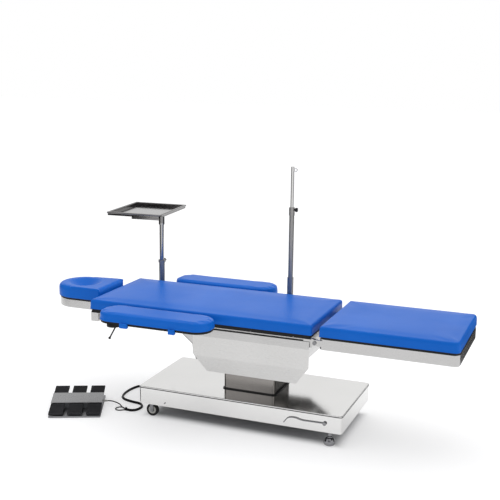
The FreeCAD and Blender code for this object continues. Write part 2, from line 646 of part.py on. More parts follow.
# Top sections
main_x = (-1 * d.main_head, d.main_leg)
flange_bottom = d.frame_top - d.flange_thick
pad_bottom = d.frame_top + d.board_thick
leg_hinge_x = d.main_leg + d.leg_gap / 2
head_hinge_x = -1 * d.main_head - d.head_gap / 2
leg_x = (d.main_leg + d.leg_gap, d.main_leg + d.leg_gap + d.leg_length)
head_flat = -1 * d.main_head - d.head_gap
head_round = head_flat - d.head_length + d.head_half
head_board_top = d.head_frame_top + d.head_board_thick


def rectangle(x, y):
    return lambda s: draw_corners(s, [(x[0], y[0]), (x[1], y[0]), (x[1], y[1]), (x[0], y[1])])


def both_sides(half):
    return (-1 * half, half)


def lugs(name, root, centre_x, centre_z, radius, inner, thick, bore):
    """A pair of round-ended hinge lugs, one each side, with their bores."""
    added, removed = [], []
    x = (root, centre_x) if number_of(root) < number_of(centre_x) else (centre_x, root)
    for side, start in (("front", -1 * inner - thick), ("rear", inner)):
        added.append(box(f"{name}_strap_{side}", x, (start, start + thick),
                         (centre_z - radius, centre_z + radius)))
        added.append(rod(f"{name}_eye_{side}", "y", radius, (centre_x, start, centre_z), thick))
        removed.append(rod(f"{name}_bore_{side}", "y", bore, (centre_x, start - 1, centre_z), thick + 2))
    return added, removed


main_lug_inner = d.member_out + 1
leg_lug_inner = main_lug_inner + d.main_lug_thick + d.lug_gap
head_lug_inner = d.head_lug_side + d.head_lug_thick + d.lug_gap


def make_main_frame():
    """Flanged ladder frame: two deep side members, cross members and hinge lugs at both ends."""
    body = new_body("main_ladder")
    level = (flange_bottom, d.frame_top)
    extrude(body, "main_flange", "xy", level, rectangle(main_x, both_sides(d.flange_half)))
    open_x = (main_x[0] + d.flange_width, main_x[1] - d.flange_width)
    open_y = both_sides(d.flange_half - d.flange_width)
    extrude(body, "main_flange_opening", "xy", level, rectangle(open_x, open_y), cut=True)
    deep = (d.frame_bottom, flange_bottom)
    member_in = d.member_out - d.member_width
    extrude(body, "member_front", "xy", deep, rectangle(main_x, (-1 * d.member_out, -1 * member_in)))
    extrude(body, "member_rear", "xy", deep, rectangle(main_x, (member_in, d.member_out)))
    head_end = (main_x[0], main_x[0] + d.end_width)
    extrude(body, "head_member", "xy", deep, rectangle(head_end, both_sides(d.flange_half)))
    leg_end = (main_x[1] - d.end_width, main_x[1])
    extrude(body, "leg_member", "xy", deep, rectangle(leg_end, both_sides(d.foot_member_half)))
    for name, start in (("head", -1 * d.cross_near - d.cross_width), ("leg", d.cross_near)):
        across = (start, start + d.cross_width)
        extrude(body, f"cross_member_{name}", "xy", deep, rectangle(across, both_sides(d.member_out)))
    leg_added, leg_removed = lugs("main_leg", main_x[1], leg_hinge_x, d.leg_hinge_height,
                                  d.leg_lug_radius, main_lug_inner, d.main_lug_thick, d.leg_pin_radius)
    head_added, head_removed = lugs("main_head", main_x[0], head_hinge_x, d.head_hinge_height,
                                    d.head_lug_radius, d.head_lug_side, d.head_lug_thick,
                                    d.head_pin_radius)
    whole = join("main_frame_body", [body] + leg_added + head_added)
    node("main_frame", trim("main_frame", whole, leg_removed + head_removed))


def make_cushioned(name, x, y, bottom, board_thick, top, corner, inset):
    """A black board and, on it, the padded cushion with rounded upper edges."""
    board = new_body(f"{name}_board")
    extrude(board, f"{name}_board_plate", "xy", (bottom, bottom + board_thick),
            lambda s: draw_rounded(s, (x[0] + inset, x[1] - inset), (y[0] + inset, y[1] - inset), corner))
    node(f"{name}_board", board)
    pad = new_body(f"{name}_pad")
    cushion = extrude(pad, f"{name}_cushion", "xy", (bottom + board_thick, top),
                      lambda s: draw_rounded(s, x, y, corner))
    round_top(pad, f"{name}_cushion_edge", cushion, smaller(d.pad_edge, d.pad_thick / 2), top)
    node(f"{name}_pad", pad)


def make_leg_frame():
    """Leg section: a ring frame with one cross member and lugs outside the main frame's."""
    body = new_body("leg_ring_frame")
    x = (leg_x[0] + 2, leg_x[1] - d.leg_frame_inset)
    half = leg_lug_inner + d.leg_lug_thick
    level = (d.frame_bottom, d.frame_top)
    extrude(body, "leg_ring", "xy", level, lambda s: draw_rounded(s, x, both_sides(half), d.leg_corner))
    inner_x = (x[0] + d.leg_ring, x[1] - d.leg_ring)
    extrude(body, "leg_ring_opening", "xy", level,
            rectangle(inner_x, both_sides(half - d.leg_ring)), cut=True)
    middle = (inner_x[0] + inner_x[1]) / 2
    across = (middle - d.leg_cross / 2, middle + d.leg_cross / 2)
    extrude(body, "leg_cross_member", "xy", level, rectangle(across, both_sides(half - d.leg_ring / 2)))
    added, removed = lugs("leg", x[0] + d.leg_corner, leg_hinge_x, d.leg_hinge_height, d.leg_lug_radius,
                          leg_lug_inner, d.leg_lug_thick, d.leg_pin_radius + d.fit_gap)
    node("leg_frame", trim("leg_frame", join("leg_frame_body", [body] + added), removed))


def make_head_section():
    """Head rest: half-round frame, board and a cushion with a hollow for the head."""
    body = new_body("head_ring_frame")
    level = (d.head_frame_bottom, d.head_frame_top)
    near = head_flat + 4
    half = d.head_half - d.head_inset
    extrude(body, "head_ring", "xy", level,
            lambda s: draw_head(s, near, head_round, half, d.head_corner - d.head_inset))
    extrude(body, "head_ring_opening", "xy", level,
            lambda s: draw_head(s, near - d.head_ring, head_round, half - d.head_ring, d.head_inset),
            cut=True)
    added, removed = lugs("head", near, head_hinge_x, d.head_hinge_height, d.head_lug_radius,
                          head_lug_inner, d.head_lug_thick, d.head_pin_radius + d.fit_gap)
    node("head_frame", trim("head_frame", join("head_frame_body", [body] + added), removed))
    board = new_body("head_board")
    extrude(board, "head_board_plate", "xy", (d.head_frame_top, head_board_top),
            lambda s: draw_head(s, head_flat, head_round, d.head_half - d.board_inset,
                                d.head_corner - d.board_inset))
    node("head_board", board)
    pad = new_body("head_pad")
    cushion = extrude(pad, "head_cushion", "xy", (head_board_top, d.head_rise),
                      lambda s: draw_head(s, head_flat, head_round, d.head_half, d.head_corner))
    round_top(pad, "head_cushion_edge", cushion, smaller(d.pad_edge * 1.5, d.head_pad_thick / 2),
              d.head_rise)
    hollow = new_sketch(pad, "head_hollow_profile", "xz")
    deep = d.head_rise - d.hollow_depth
    centre = -1 * d.hollow_centre
    draw_corners(hollow, [(centre, deep), (centre + d.hollow_radius * 0.45, deep + 3),
                          (centre + d.hollow_radius * 0.85, deep + d.hollow_depth * 0.6),
                          (centre + d.hollow_radius, d.head_rise + 1), (centre, d.head_rise + 1)])
    groove = pad.newObject("PartDesign::Groove", "head_hollow")
    groove.Profile = hollow
    groove.ReferenceAxis = (hollow, ["Edge5"])
    groove.Angle = 360
    node("head_pad", pad)


def make_hinge_pins():
    """Four headed pins on which the head and leg sections turn."""
    pins = []
    head_reach = head_lug_inner + d.head_lug_thick + 1
    leg_reach = leg_lug_inner + d.leg_lug_thick + d.fit_gap
    for side, sign in (("front", -1), ("rear", 1)):
        start = d.head_lug_side - 1 if sign > 0 else -1 * head_reach
        pins.append(rod(f"head_pin_{side}", "y", d.head_pin_radius,
                        (head_hinge_x, start, d.head_hinge_height), head_reach - d.head_lug_side + 1))
        start = main_lug_inner if sign > 0 else -1 * leg_reach
        shank = rod(f"leg_shank_{side}", "y", d.leg_pin_radius,
                    (leg_hinge_x, start, d.leg_hinge_height), leg_reach - main_lug_inner)
        start = leg_reach if sign > 0 else -1 * leg_reach - d.pin_head_thick
        head = rod(f"leg_pin_head_{side}", "y", d.pin_head, (leg_hinge_x, start, d.leg_hinge_height),
                   d.pin_head_thick)
        pins.append(join(f"leg_pin_{side}", [shank, head]))
    node("hinge_pins", group("hinge_pins", pins))


# Arm boards
arm_shift = {"front": 0, "rear": d.arm_rear_shift}
arm_middle = d.arm_inner + d.arm_width / 2
bracket_top = flange_bottom - d.bracket_drop
boss_top = d.arm_board_bottom - d.fit_gap


def side_span(sign, near, far):
    """The Y range between two distances on the front (-1) or rear (+1) side."""
    return (sign * far, sign * near) if sign < 0 else (near, far)


def make_arm(side, sign):
    """Arm board with its cushion, turning on a pin at its head end, and the clamp lever."""
    y = side_span(sign, d.arm_inner, d.arm_inner + d.arm_width)
    arm_x = (arm_shift[side] - d.arm_head, arm_shift[side] - d.arm_leg)
    centre = (arm_shift[side] - d.arm_pivot, sign * arm_middle)
    board = new_body(f"arm_plate_{side}")
    extrude(board, f"arm_board_plate_{side}", "xy", (d.arm_board_bottom, d.arm_pad_bottom),
            lambda s: draw_rounded(s, (arm_x[0] + 4, arm_x[1] - 4), (y[0] + 4, y[1] - 4),
                                   d.arm_corner - 4))
    hole = rod(f"arm_hole_{side}", "z", d.arm_pin_radius + d.fit_gap, (*centre, d.arm_board_bottom),
               d.arm_pin_rise + 1)
    node(f"arm_board_{side}", trim(f"arm_board_{side}", board, [hole]))
    pad = new_body(f"arm_pad_{side}")
    cushion = extrude(pad, f"arm_cushion_{side}", "xy", (d.arm_pad_bottom, d.pad_top),
                      lambda s: draw_rounded(s, arm_x, y, d.arm_corner))
    round_top(pad, f"arm_cushion_edge_{side}", cushion, d.pad_edge, d.pad_top)
    node(f"arm_pad_{side}", pad)
    spot = (centre[0] - d.lever_from_pivot, sign * d.lever_side)
    hub_top = bracket_top - d.bracket_thick - d.fit_gap
    hub = rod(f"lever_hub_{side}", "z", d.lever_hub, (0, 0, 0), d.lever_hub_depth)
    start = Vector(0, 0, number_of(d.lever_hub_depth) / 2)
    tip = Vector(-1 * number_of(d.lever_reach), 0, start.z - number_of(d.lever_drop))
    arm = doc.addObject("Part::Cylinder", f"lever_rod_{side}")
    bind(arm, "Radius", d.lever_rod)
    arm.Height = (tip - start).Length
    arm.Placement = Placement(start, Rotation(Vector(0, 0, 1), tip - start))
    ball = doc.addObject("Part::Sphere", f"lever_ball_{side}")
    bind(ball, "Radius", d.lever_ball)
    ball.Placement = Placement(tip, Rotation())
    node(f"arm_lever_{side}", join(f"arm_lever_{side}", [hub, arm, ball]),
         (*spot, hub_top - d.lever_hub_depth))


def make_arm_brackets():
    """Flat outriggers from the frame's side members, with the boss and pin of each arm board."""
    brackets = []
    for side, sign in (("front", -1), ("rear", 1)):
        centre = (arm_shift[side] - d.arm_pivot, sign * arm_middle)
        across = (centre[0] - d.bracket_half, centre[0] + d.bracket_half)
        bar = box(f"bracket_bar_{side}", across, side_span(sign, d.member_out, arm_middle),
                  (bracket_top - d.bracket_thick, bracket_top))
        end = rod(f"bracket_end_{side}", "z", d.bracket_half, (*centre, bracket_top - d.bracket_thick),
                  d.bracket_thick)
        boss = rod(f"bracket_boss_{side}", "z", d.arm_boss_radius, (*centre, bracket_top),
                   boss_top - bracket_top)
        pin = rod(f"bracket_pin_{side}", "z", d.arm_pin_radius, (*centre, bracket_top),
                  d.arm_board_bottom + d.arm_pin_rise - bracket_top)
        brackets.append(join(f"arm_bracket_{side}", [bar, end, boss, pin]))
    node("arm_brackets", group("arm_brackets", brackets))


# Skirts and cowl
def make_skirt(side, sign):
    """Bent sheet skirt: a leaning top band, an upright face and a lower face tucked inwards."""
    body = new_body(f"skirt_sheet_{side}")
    outer = [(d.skirt_side - d.skirt_lean, d.skirt_top), (d.skirt_side, d.skirt_crease),
             (d.skirt_side, d.skirt_fold), (d.skirt_side - d.skirt_tuck, d.skirt_bottom)]
    inner = [(y - d.sheet, z) for y, z in reversed(outer)]
    profile = [(sign * y, z) for y, z in outer + inner]
    leg_cut = d.skirt_cut_leg
    leg_edge = d.skirt_leg
    if sign > 0:
        leg_cut = d.skirt_rear_cut
        leg_edge = d.skirt_leg - d.skirt_rear_short
    x = (-1 * d.skirt_head, leg_edge)
    extrude(body, f"skirt_bend_{side}", "yz", x, lambda s: draw_corners(s, profile))
    depth = side_span(sign, d.skirt_side - 2 * d.skirt_tuck, d.skirt_side + 1)
    low = d.skirt_bottom - 1
    extrude(body, f"skirt_head_corner_{side}", "xz", depth,
            lambda s: draw_corners(s, [(x[0] - 1, low), (x[0] + d.skirt_cut_head, low),
                                       (x[0] - 1, d.skirt_shoulder)]), cut=True)
    extrude(body, f"skirt_leg_corner_{side}", "xz", depth,
            lambda s: draw_corners(s, [(x[1] + 1, low), (x[1] - leg_cut, low),
                                       (x[1] + 1, d.skirt_shoulder)]), cut=True)
    height = d.frame_bottom + d.skirt_boss + d.skirt_boss_rise
    near = side_span(sign, d.member_out, d.skirt_side - d.sheet - 1)
    bosses = [rod(f"skirt_boss_{name}_{side}", "y", d.skirt_boss, (spot, near[0], height),
                  near[1] - near[0])
              for name, spot in (("head", x[0] + d.skirt_boss_inset), ("middle", (x[0] + x[1]) / 2),
                                 ("leg", x[1] - d.skirt_boss_inset))]
    node(f"skirt_{side}", join(f"skirt_{side}", [body] + bosses))


def make_cowl():
    """Bent sheet scoop below the frame, open where the column comes through."""
    body = new_body("mechanism_cowl")
    head, leg = -1 * d.skirt_head, d.skirt_leg
    heights = [d.frame_bottom, d.frame_bottom - d.cowl_high_drop, d.frame_bottom - d.cowl_middle_drop,
               d.frame_bottom - d.cowl_low_drop, d.cowl_bottom]
    head_side = list(zip([head - d.cowl_head_top, head - d.cowl_head_high, head - d.cowl_head_middle,
                          head - d.cowl_head_low, head + d.cowl_head_foot], heights))
    leg_side = list(zip([leg - d.cowl_leg_top, leg - d.cowl_leg_high, leg - d.cowl_leg_middle,
                         leg - d.cowl_leg_low, leg - d.cowl_leg_foot], heights))
    outer = head_side + leg_side[::-1]
    inner = [(leg_side[0][0] - d.sheet, leg_side[0][1])]
    inner += [(x - d.sheet, z + d.sheet) for x, z in leg_side[1:]]
    inner += [(x + d.sheet, z + d.sheet) for x, z in head_side[:0:-1]]
    inner += [(head_side[0][0] + d.sheet, head_side[0][1])]
    extrude(body, "cowl_bend", "xz", both_sides(d.cowl_half), lambda s: draw_corners(s, outer + inner))
    extrude(body, "cowl_opening", "xy", (d.cowl_bottom - 1, d.cowl_bottom + d.sheet + 1),
            rectangle(both_sides(d.cowl_open_length / 2), both_sides(d.cowl_open_width / 2)), cut=True)
    node("mechanism_cowl", body)


# Poles and tray
def make_socket(name, x, y, radius, bottom, top, collar_radius, collar_span, bore, bore_span, extra=()):
    """A tube socket on a block that is fixed to the rear side member."""
    block = box(f"{name}_block", (x - radius - 3, x + radius + 3), (d.member_out, y),
                (bottom, flange_bottom - d.bracket_drop))
    tube = rod(f"{name}_tube", "z", radius, (x, y, bottom), top - bottom)
    collar = rod(f"{name}_collar", "z", collar_radius, (x, y, collar_span[0]),
                 collar_span[1] - collar_span[0])
    hole = rod(f"{name}_bore", "z", bore, (x, y, bore_span[0]), bore_span[1] - bore_span[0])
    return trim(name, join(f"{name}_body", [block, tube, collar] + list(extra)), [hole])


def make_knob(name, axis, spot):
    """A turned clamp knob with four grip lobes on a short stem."""
    lift = d.knob_stem_length
    stem = rod(f"{name}_stem", "z", d.knob_stem, (0, 0, 0), lift + 1)
    core = rod(f"{name}_core", "z", d.knob_radius * 0.72, (0, 0, lift), d.knob_depth)
    lobes = []
    for index in range(5):
        angle = 2 * math.pi * index / 5
        reach = d.knob_radius * 0.68
        lobes.append(rod(f"{name}_lobe_{index}", "z", d.knob_radius * 0.32,
                         (reach * math.cos(angle), reach * math.sin(angle), lift), d.knob_depth))
    node(name, join(name, [stem, core] + lobes), spot, turn=TURNS[axis])


bore_bottom = d.socket_bottom + d.socket_floor


def make_drip_pole():
    """Socket with its fixed tube, the sliding rod with two hooks, and the clamp knob."""
    x, y = d.drip_x, d.drip_side
    tube = rod("drip_tube", "z", d.drip_tube_radius, (x, y, d.drip_socket_top),
               d.drip_tube_top - d.drip_socket_top)
    collar_bottom = d.drip_tube_top - d.drip_collar
    bore_span = (bore_bottom, d.drip_tube_top + 1)
    socket = make_socket("drip_socket", x, y, d.drip_socket_radius, d.socket_bottom, d.drip_socket_top,
                         d.drip_collar_radius, (collar_bottom, d.drip_tube_top),
                         d.drip_rod_radius + d.fit_gap, bore_span, [tube])
    node("drip_socket", socket)
    mast = rod("drip_mast", "z", d.drip_rod_radius, (x, y, d.drip_rod_bottom),
               d.drip_top - d.drip_rod_bottom)
    ring = doc.addObject("Part::Torus", "hook_ring")
    bind(ring, "Radius1", d.hook_ring)
    bind(ring, "Radius2", d.hook_rod)
    ring.Placement = Placement(Vector(), TURNS["y"])
    put(ring, x + d.drip_rod_radius + d.hook_ring, y, d.drip_top - d.hook_drop)
    node("drip_rod", join("drip_rod", [mast, ring]))
    make_knob("drip_knob", "x", (x + d.drip_collar_radius + d.fit_gap, y, d.drip_tube_top - d.knob_radius))


def make_tray():
    """Pole in its socket, and the open tray with its hub, bar and rolled rim."""
    x, y = -1 * d.tray_x, d.tray_side
    socket = make_socket("tray_socket", x, y, d.tray_socket_radius, d.socket_bottom, d.tray_socket_top,
                         d.tray_collar_radius, (d.tray_socket_top - d.tray_collar, d.tray_socket_top),
                         d.tray_rod_radius + d.fit_gap, (bore_bottom, d.tray_socket_top + 1))
    node("tray_socket", socket)
    tray_floor = d.tray_top - d.tray_rim
    hub_bottom = tray_floor - d.tray_hub_depth
    shoulder = hub_bottom - d.fit_gap
    pole = rod("tray_pole_rod", "z", d.tray_rod_radius, (x, y, d.tray_rod_bottom),
               tray_floor + d.tray_stop - d.tray_rod_bottom)
    stop = rod("tray_pole_stop", "z", d.tray_hub_radius, (x, y, shoulder - d.tray_stop), d.tray_stop)
    node("tray_pole", join("tray_pole", [pole, stop]))
    reach_x = (-1 * d.tray_offset - d.tray_width, -1 * d.tray_offset)
    reach_y = (-1 * d.tray_offset, d.tray_length - d.tray_offset)
    outer = box("tray_outer", reach_x, reach_y, (tray_floor, d.tray_top))
    inner = box("tray_inner", (reach_x[0] + d.tray_sheet, reach_x[1] - d.tray_sheet),
                (reach_y[0] + d.tray_sheet, reach_y[1] - d.tray_sheet),
                (tray_floor + d.tray_sheet, d.tray_top + 1))
    hub = rod("tray_hub", "z", d.tray_hub_radius, (0, 0, hub_bottom),
              d.tray_hub_depth + d.tray_boss)
    bar = box("tray_bar", (-1 * d.tray_bar_length, -1 * d.tray_hub_radius / 2),
              (-1 * d.tray_bar_width / 2, d.tray_bar_width / 2), (tray_floor - d.tray_bar, tray_floor))
    bore = rod("tray_hub_bore", "z", d.tray_rod_radius + d.fit_gap, (0, 0, hub_bottom - 1),
               d.tray_hub_depth + d.tray_boss)
    shell = trim("tray_shell", outer, [inner])
    bead_z = d.tray_top - d.tray_bead
    beads = []
    for name, start in (("front", reach_y[0]), ("rear", reach_y[1])):
        beads.append(rod(f"tray_bead_{name}", "x", d.tray_bead, (reach_x[0], start, bead_z), d.tray_width))
    for name, start in (("head", reach_x[0]), ("leg", reach_x[1])):
        beads.append(rod(f"tray_bead_{name}", "y", d.tray_bead, (start, reach_y[0], bead_z),
                         d.tray_length))
    for index, (ball_x, ball_y) in enumerate([(a, b) for a in reach_x for b in reach_y]):
        ball = doc.addObject("Part::Sphere", f"tray_bead_corner_{index}")
        bind(ball, "Radius", d.tray_bead)
        put(ball, ball_x, ball_y, bead_z)
        beads.append(ball)
    rolled = join("tray_whole", [shell, hub, bar] + beads)
    node("tray", trim("tray", rolled, [bore]), (x, y, 0), angle=d.tray_turn)
    make_knob("tray_knob", "y", (x, y + d.tray_collar_radius + d.fit_gap,
                                 d.tray_socket_top - d.tray_collar / 2))


# Foot switch
switch_at = (d.switch_x, d.switch_y, 0)
nose_front = d.bar_front + d.nose_inset
nose_back = d.bar_back - d.nose_inset


def slope_height(depth):
    """Height of the pedals' upper faces at a depth behind the front edge."""
    return d.pedal_front + d.pedal_slope * depth


def make_pedal(name, left, depth, hinge_depth):
    """One pedal: a ribbed wedge plate with a round nose that turns in the housing."""
    body = new_body(f"{name}_plate")
    near, far = depth
    thick = d.pedal_thick
    nose_z = slope_height(hinge_depth) - d.pedal_nose
    profile = [(near, slope_height(near))]
    first = near + d.rib_inset
    for index in range(int(d.rib_count.number)):
        start = first + d.rib_pitch * index
        for depth, rise in ((start, 0), (start, d.rib_rise), (start + d.rib_width, d.rib_rise),
                            (start + d.rib_width, 0)):
            profile.append((depth, slope_height(depth) + rise))
    profile += [(far, slope_height(far)), (far, slope_height(far) - thick),
                (near, slope_height(near) - thick)]
    x = (left, left + d.pedal_width)
    extrude(body, f"{name}_wedge", "yz", x, lambda s: draw_corners(s, profile))
    nose = rod(f"{name}_nose", "x", d.pedal_nose, (left, hinge_depth, nose_z), d.pedal_width)
    node(name, join(name, [body, nose]), switch_at, angle=d.switch_turn)


def make_foot_switch():
    """Plate, housing, cover bar, cable relief and two rows of pedals."""
    plate = new_body("switch_plate")
    extrude(plate, "switch_plate_slab", "xy", (0, d.switch_plate),
            lambda s: draw_rounded(s, (0, d.switch_width), (0, d.switch_depth), d.switch_corner))
    node("switch_plate", plate, switch_at, angle=d.switch_turn)
    front = nose_front + d.pedal_nose + d.nose_gap
    back = nose_back - d.pedal_nose - d.nose_gap
    profile = [(front, d.switch_plate), (back, d.switch_plate),
               (back, slope_height(back) + d.bar_rise - d.bar_thick),
               (front, slope_height(front) + d.bar_rise - d.bar_thick)]
    housing = new_body("switch_housing")
    extrude(housing, "switch_block", "yz", (d.housing_inset, d.switch_width - d.housing_inset),
            lambda s: draw_corners(s, profile))
    node("switch_housing", housing, switch_at, angle=d.switch_turn)
    low, high = d.bar_front, d.bar_back
    bar_low, bar_high = slope_height(low) + d.bar_rise, slope_height(high) + d.bar_rise
    profile = [(low, bar_low - d.bar_thick), (high, bar_high - d.bar_thick), (high, bar_high),
               (low, bar_low)]
    bar = new_body("switch_bar")
    extrude(bar, "switch_bar_sheet", "yz", (0, d.switch_width),
            lambda s: draw_corners(s, profile))
    node("switch_bar", bar, switch_at, angle=d.switch_turn)
    pedals_wide = d.pedal_pitch * (int(d.pedal_count.number) - 1) + d.pedal_width
    first_left = (d.switch_width - pedals_wide) / 2
    for index in range(int(d.pedal_count.number)):
        left = first_left + d.pedal_pitch * index
        make_pedal(f"pedal_front_{index + 1}", left, (d.pedal_margin, nose_front), nose_front)
        make_pedal(f"pedal_back_{index + 1}", left, (nose_back, d.switch_depth - d.pedal_margin), nose_back)
    relief = taper("cable_relief", "x", d.relief_root, d.relief_tip,
                   (d.switch_width - d.housing_inset, d.relief_depth, d.relief_height), d.relief_length)
    node("strain_relief", group("strain_relief", [relief]), switch_at, angle=d.switch_turn)


# Cord
turn = math.radians(d.switch_turn.number)
relief_end = d.switch_width.number - d.housing_inset.number + d.relief_length.number
exit_x = d.switch_x.number + relief_end * math.cos(turn) - d.relief_depth.number * math.sin(turn)
exit_y = d.switch_y.number + relief_end * math.sin(turn) + d.relief_depth.number * math.cos(turn)
exit_z = d.relief_height.number
low_z = d.cord_lift.number
gland_x = -1 * d.base_head.number - d.gland_length.number
first_run = 20
LEAD = [(exit_x, exit_y, exit_z),
        (exit_x + first_run * math.cos(turn), exit_y + first_run * math.sin(turn), exit_z),
        (-698, -163, 14), (-682, -167, 7), (-668, -179, low_z), (-656, -192, low_z),
        (-643, -203, low_z), (-629, -208, low_z), (-614, -209, low_z)]
HANK = [(-614, -209), (-590, -210.6), (-570, -195), (-563, -160), (-572, -125), (-600, -107),
        (-640, -103), (-682, -93), (-713, -75), (-733, -45), (-741, -2), (-742, 44), (-735, 88),
        (-719, 122), (-697, 147)]
TAIL = [(-697, 147, low_z), (-681, 165.2, low_z), (-660, 178, 11), (-641, 184, 32), (-627, 186, 58),
        (-613, 186, 84), (-594, 185, 103), (gland_x - 25, d.gland_side.number, d.gland_height.number),
        (gland_x, d.gland_side.number, d.gland_height.number)]


def tube_along(points, radius):
    """A round tube along straight runs joined by tangent arcs as large as the runs allow."""
    spots = [Vector(*point) for point in points]
    edges = []
    radii = []
    start = spots[0]
    for before, corner, after in zip(spots, spots[1:], spots[2:]):
        back, ahead = before - corner, after - corner
        shorter = min(back.Length, ahead.Length)
        reach = 0.45 * shorter
        turn_angle = math.pi - back.getAngle(ahead)
        radii.append(reach / math.tan(turn_angle / 2))
        arc_start = corner + back.normalize() * reach
        arc_end = corner + ahead.normalize() * reach
        bisector = (back + ahead).normalize()
        half = turn_angle / 2
        sagitta = radii[-1] / math.cos(half) - radii[-1]
        edges.append(Part.LineSegment(start, arc_start).toShape())
        edges.append(Part.Arc(arc_start, corner + bisector * sagitta, arc_end).toShape())
        start = arc_end
    edges.append(Part.LineSegment(start, spots[-1]).toShape())
    wire = Part.Wire(edges)
    ring = Part.Wire([Part.makeCircle(radius, spots[0], spots[1] - spots[0])])
    tube = wire.makePipeShell([ring], True, False)
    print("cord: length %.0f, smallest arc %.1f, volume ratio %.4f"
          % (wire.Length, min(radii), tube.Volume / (math.pi * radius ** 2 * wire.Length)))
    return tube


def make_cord():
    """Free cord in three stretches: a single lead, a tied hank of three strands, and the tail."""
    hank_z = d.hank_radius.number
    routes = {"cord_lead": (LEAD, d.cord_radius), "cord_tail": (TAIL, d.cord_radius),
              "cord_hank": ([(x, y, hank_z) for x, y in HANK], d.hank_radius)}
    for name, (points, radius) in routes.items():
        stretch = doc.addObject("Part::Feature", name)
        stretch.Shape = tube_along(points, radius.number)
        node(name, stretch)
    sleeve = taper("gland_sleeve", "x", d.gland_tip, d.gland_root,
                   (-1 * d.base_head - d.gland_length, d.gland_side, d.gland_height), d.gland_length)
    nut = rod("gland_nut", "x", d.gland_nut, (-1 * d.base_head - d.gland_nut_depth, d.gland_side,
                                              d.gland_height), d.gland_nut_depth)
    node("cable_gland", join("cable_gland", [sleeve, nut]))


make_base_cover()
make_base_chassis()
make_pump_unit()
make_casters()
make_feet()
make_column()
make_lift()
make_tilting_head()
make_main_frame()
make_cushioned("main", (main_x[0] - d.pad_overhang, main_x[1] + d.hinge_overhang),
               both_sides(d.pad_half), d.frame_top,
               d.board_thick, d.pad_top, d.pad_corner, d.board_inset)
make_leg_frame()
make_cushioned("leg", leg_x, both_sides(d.pad_half), d.frame_top, d.board_thick, d.pad_top,
               d.leg_corner, d.board_inset)
make_head_section()
make_hinge_pins()
for arm_side, arm_sign in (("front", -1), ("rear", 1)):
    make_arm(arm_side, arm_sign)
    make_skirt(arm_side, arm_sign)
make_arm_brackets()
make_cowl()
make_drip_pole()
make_tray()
make_foot_switch()
make_cord()

doc.recompute()
failed = [thing.Name for thing in doc.Objects if "Invalid" in thing.State or "Error" in thing.State]
failed += [piece.Label for piece in nodes if piece.Shape.isNull() or not piece.Shape.isValid()]
if failed:
    raise RuntimeError(f"these did not build: {failed}")

os.makedirs("parts", exist_ok=True)
for piece in nodes:
    piece.Shape.exportStep(f"parts/{piece.Label}.step")
print(f"{len(nodes)} sub-parts written")
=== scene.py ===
# %% [markdown]
# Operating table
#
# This lesson dresses an operating table: cushions, sheet steel, a foot switch with its cord, and small
# fittings are added round a finished set of solids. +X runs to the leg end, +Y to the rear side, and
# the floor is at z = 0. The scene is in metres, and plain numbers of a place are in millimetres where
# a comment or a helper says so.

# %% Load the solids
import math

import bmesh
import bpy
from mathutils import Euler, Matrix, Vector


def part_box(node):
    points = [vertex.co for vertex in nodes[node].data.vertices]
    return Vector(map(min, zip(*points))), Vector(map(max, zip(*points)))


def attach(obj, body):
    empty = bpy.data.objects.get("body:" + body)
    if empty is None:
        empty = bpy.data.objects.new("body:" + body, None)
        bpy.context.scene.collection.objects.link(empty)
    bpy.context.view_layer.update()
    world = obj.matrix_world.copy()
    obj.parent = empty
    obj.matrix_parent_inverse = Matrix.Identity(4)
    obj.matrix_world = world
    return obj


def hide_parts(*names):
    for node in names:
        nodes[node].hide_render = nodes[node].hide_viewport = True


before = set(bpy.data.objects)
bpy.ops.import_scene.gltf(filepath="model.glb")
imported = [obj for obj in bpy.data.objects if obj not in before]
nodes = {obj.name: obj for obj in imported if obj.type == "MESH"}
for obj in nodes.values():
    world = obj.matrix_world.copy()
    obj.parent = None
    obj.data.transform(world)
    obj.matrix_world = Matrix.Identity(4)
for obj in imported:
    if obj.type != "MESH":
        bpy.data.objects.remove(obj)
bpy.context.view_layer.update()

# %% [markdown]
# Measures are easiest to read from the middle of the column's foot, because the table is symmetric
# about it. One helper turns a point given in millimetres from there into the scene's own metres.

# %% Places measured from the column
MM = 0.001
COLUMN_FOOT = Vector((0.0415, -0.1293, 0.0))


def spot(x, y, z):
    """A point in millimetres from the column's foot, as a scene vector in metres."""
    return COLUMN_FOOT + Vector((x, y, z)) * MM


print("column foot:", tuple(round(v, 4) for v in COLUMN_FOOT))

# %% [markdown]
# The camera stands off the table's leg end, a metre or so above its top, and looks across it with a
# long lens. A long lens keeps the far edge of the table nearly as large as the near edge, which is how
# such equipment is usually photographed. A slight roll is part of the view. The place, the three angles
# and the lens belong together: a change of one alone shifts the whole table in the picture.

# %% The camera
CAMERA_PLACE = (1556.3, -4074.6, 1723.4)
CAMERA_YAW = 21.48
CAMERA_PITCH = 11.52
CAMERA_ROLL = 0.72
SENSOR_WIDTH = 36.0
LENS = 66.85
VIEW_REACH = 60.0
camera = bpy.data.objects.new("camera", bpy.data.cameras.new("camera"))
bpy.context.collection.objects.link(camera)
camera.data.sensor_width = SENSOR_WIDTH
camera.data.lens = LENS
camera.data.clip_end = VIEW_REACH
aim = Euler((math.radians(90 - CAMERA_PITCH), 0, math.radians(CAMERA_YAW))).to_matrix()
tilt = Matrix.Rotation(math.radians(CAMERA_ROLL), 3, "Z")
camera.matrix_world = Matrix.Translation(spot(*CAMERA_PLACE)) @ (aim @ tilt).to_4x4()
bpy.context.scene.camera = camera
print("lens:", LENS, "mm")

# %% [markdown]
# The studio has one large soft lamp overhead and a weaker one in front. A rectangular area lamp gives
# soft shadows, because each point of the floor sees only part of it. A small hard lamp would draw sharp
# shadows and bright dots on the steel, which a product photograph avoids.

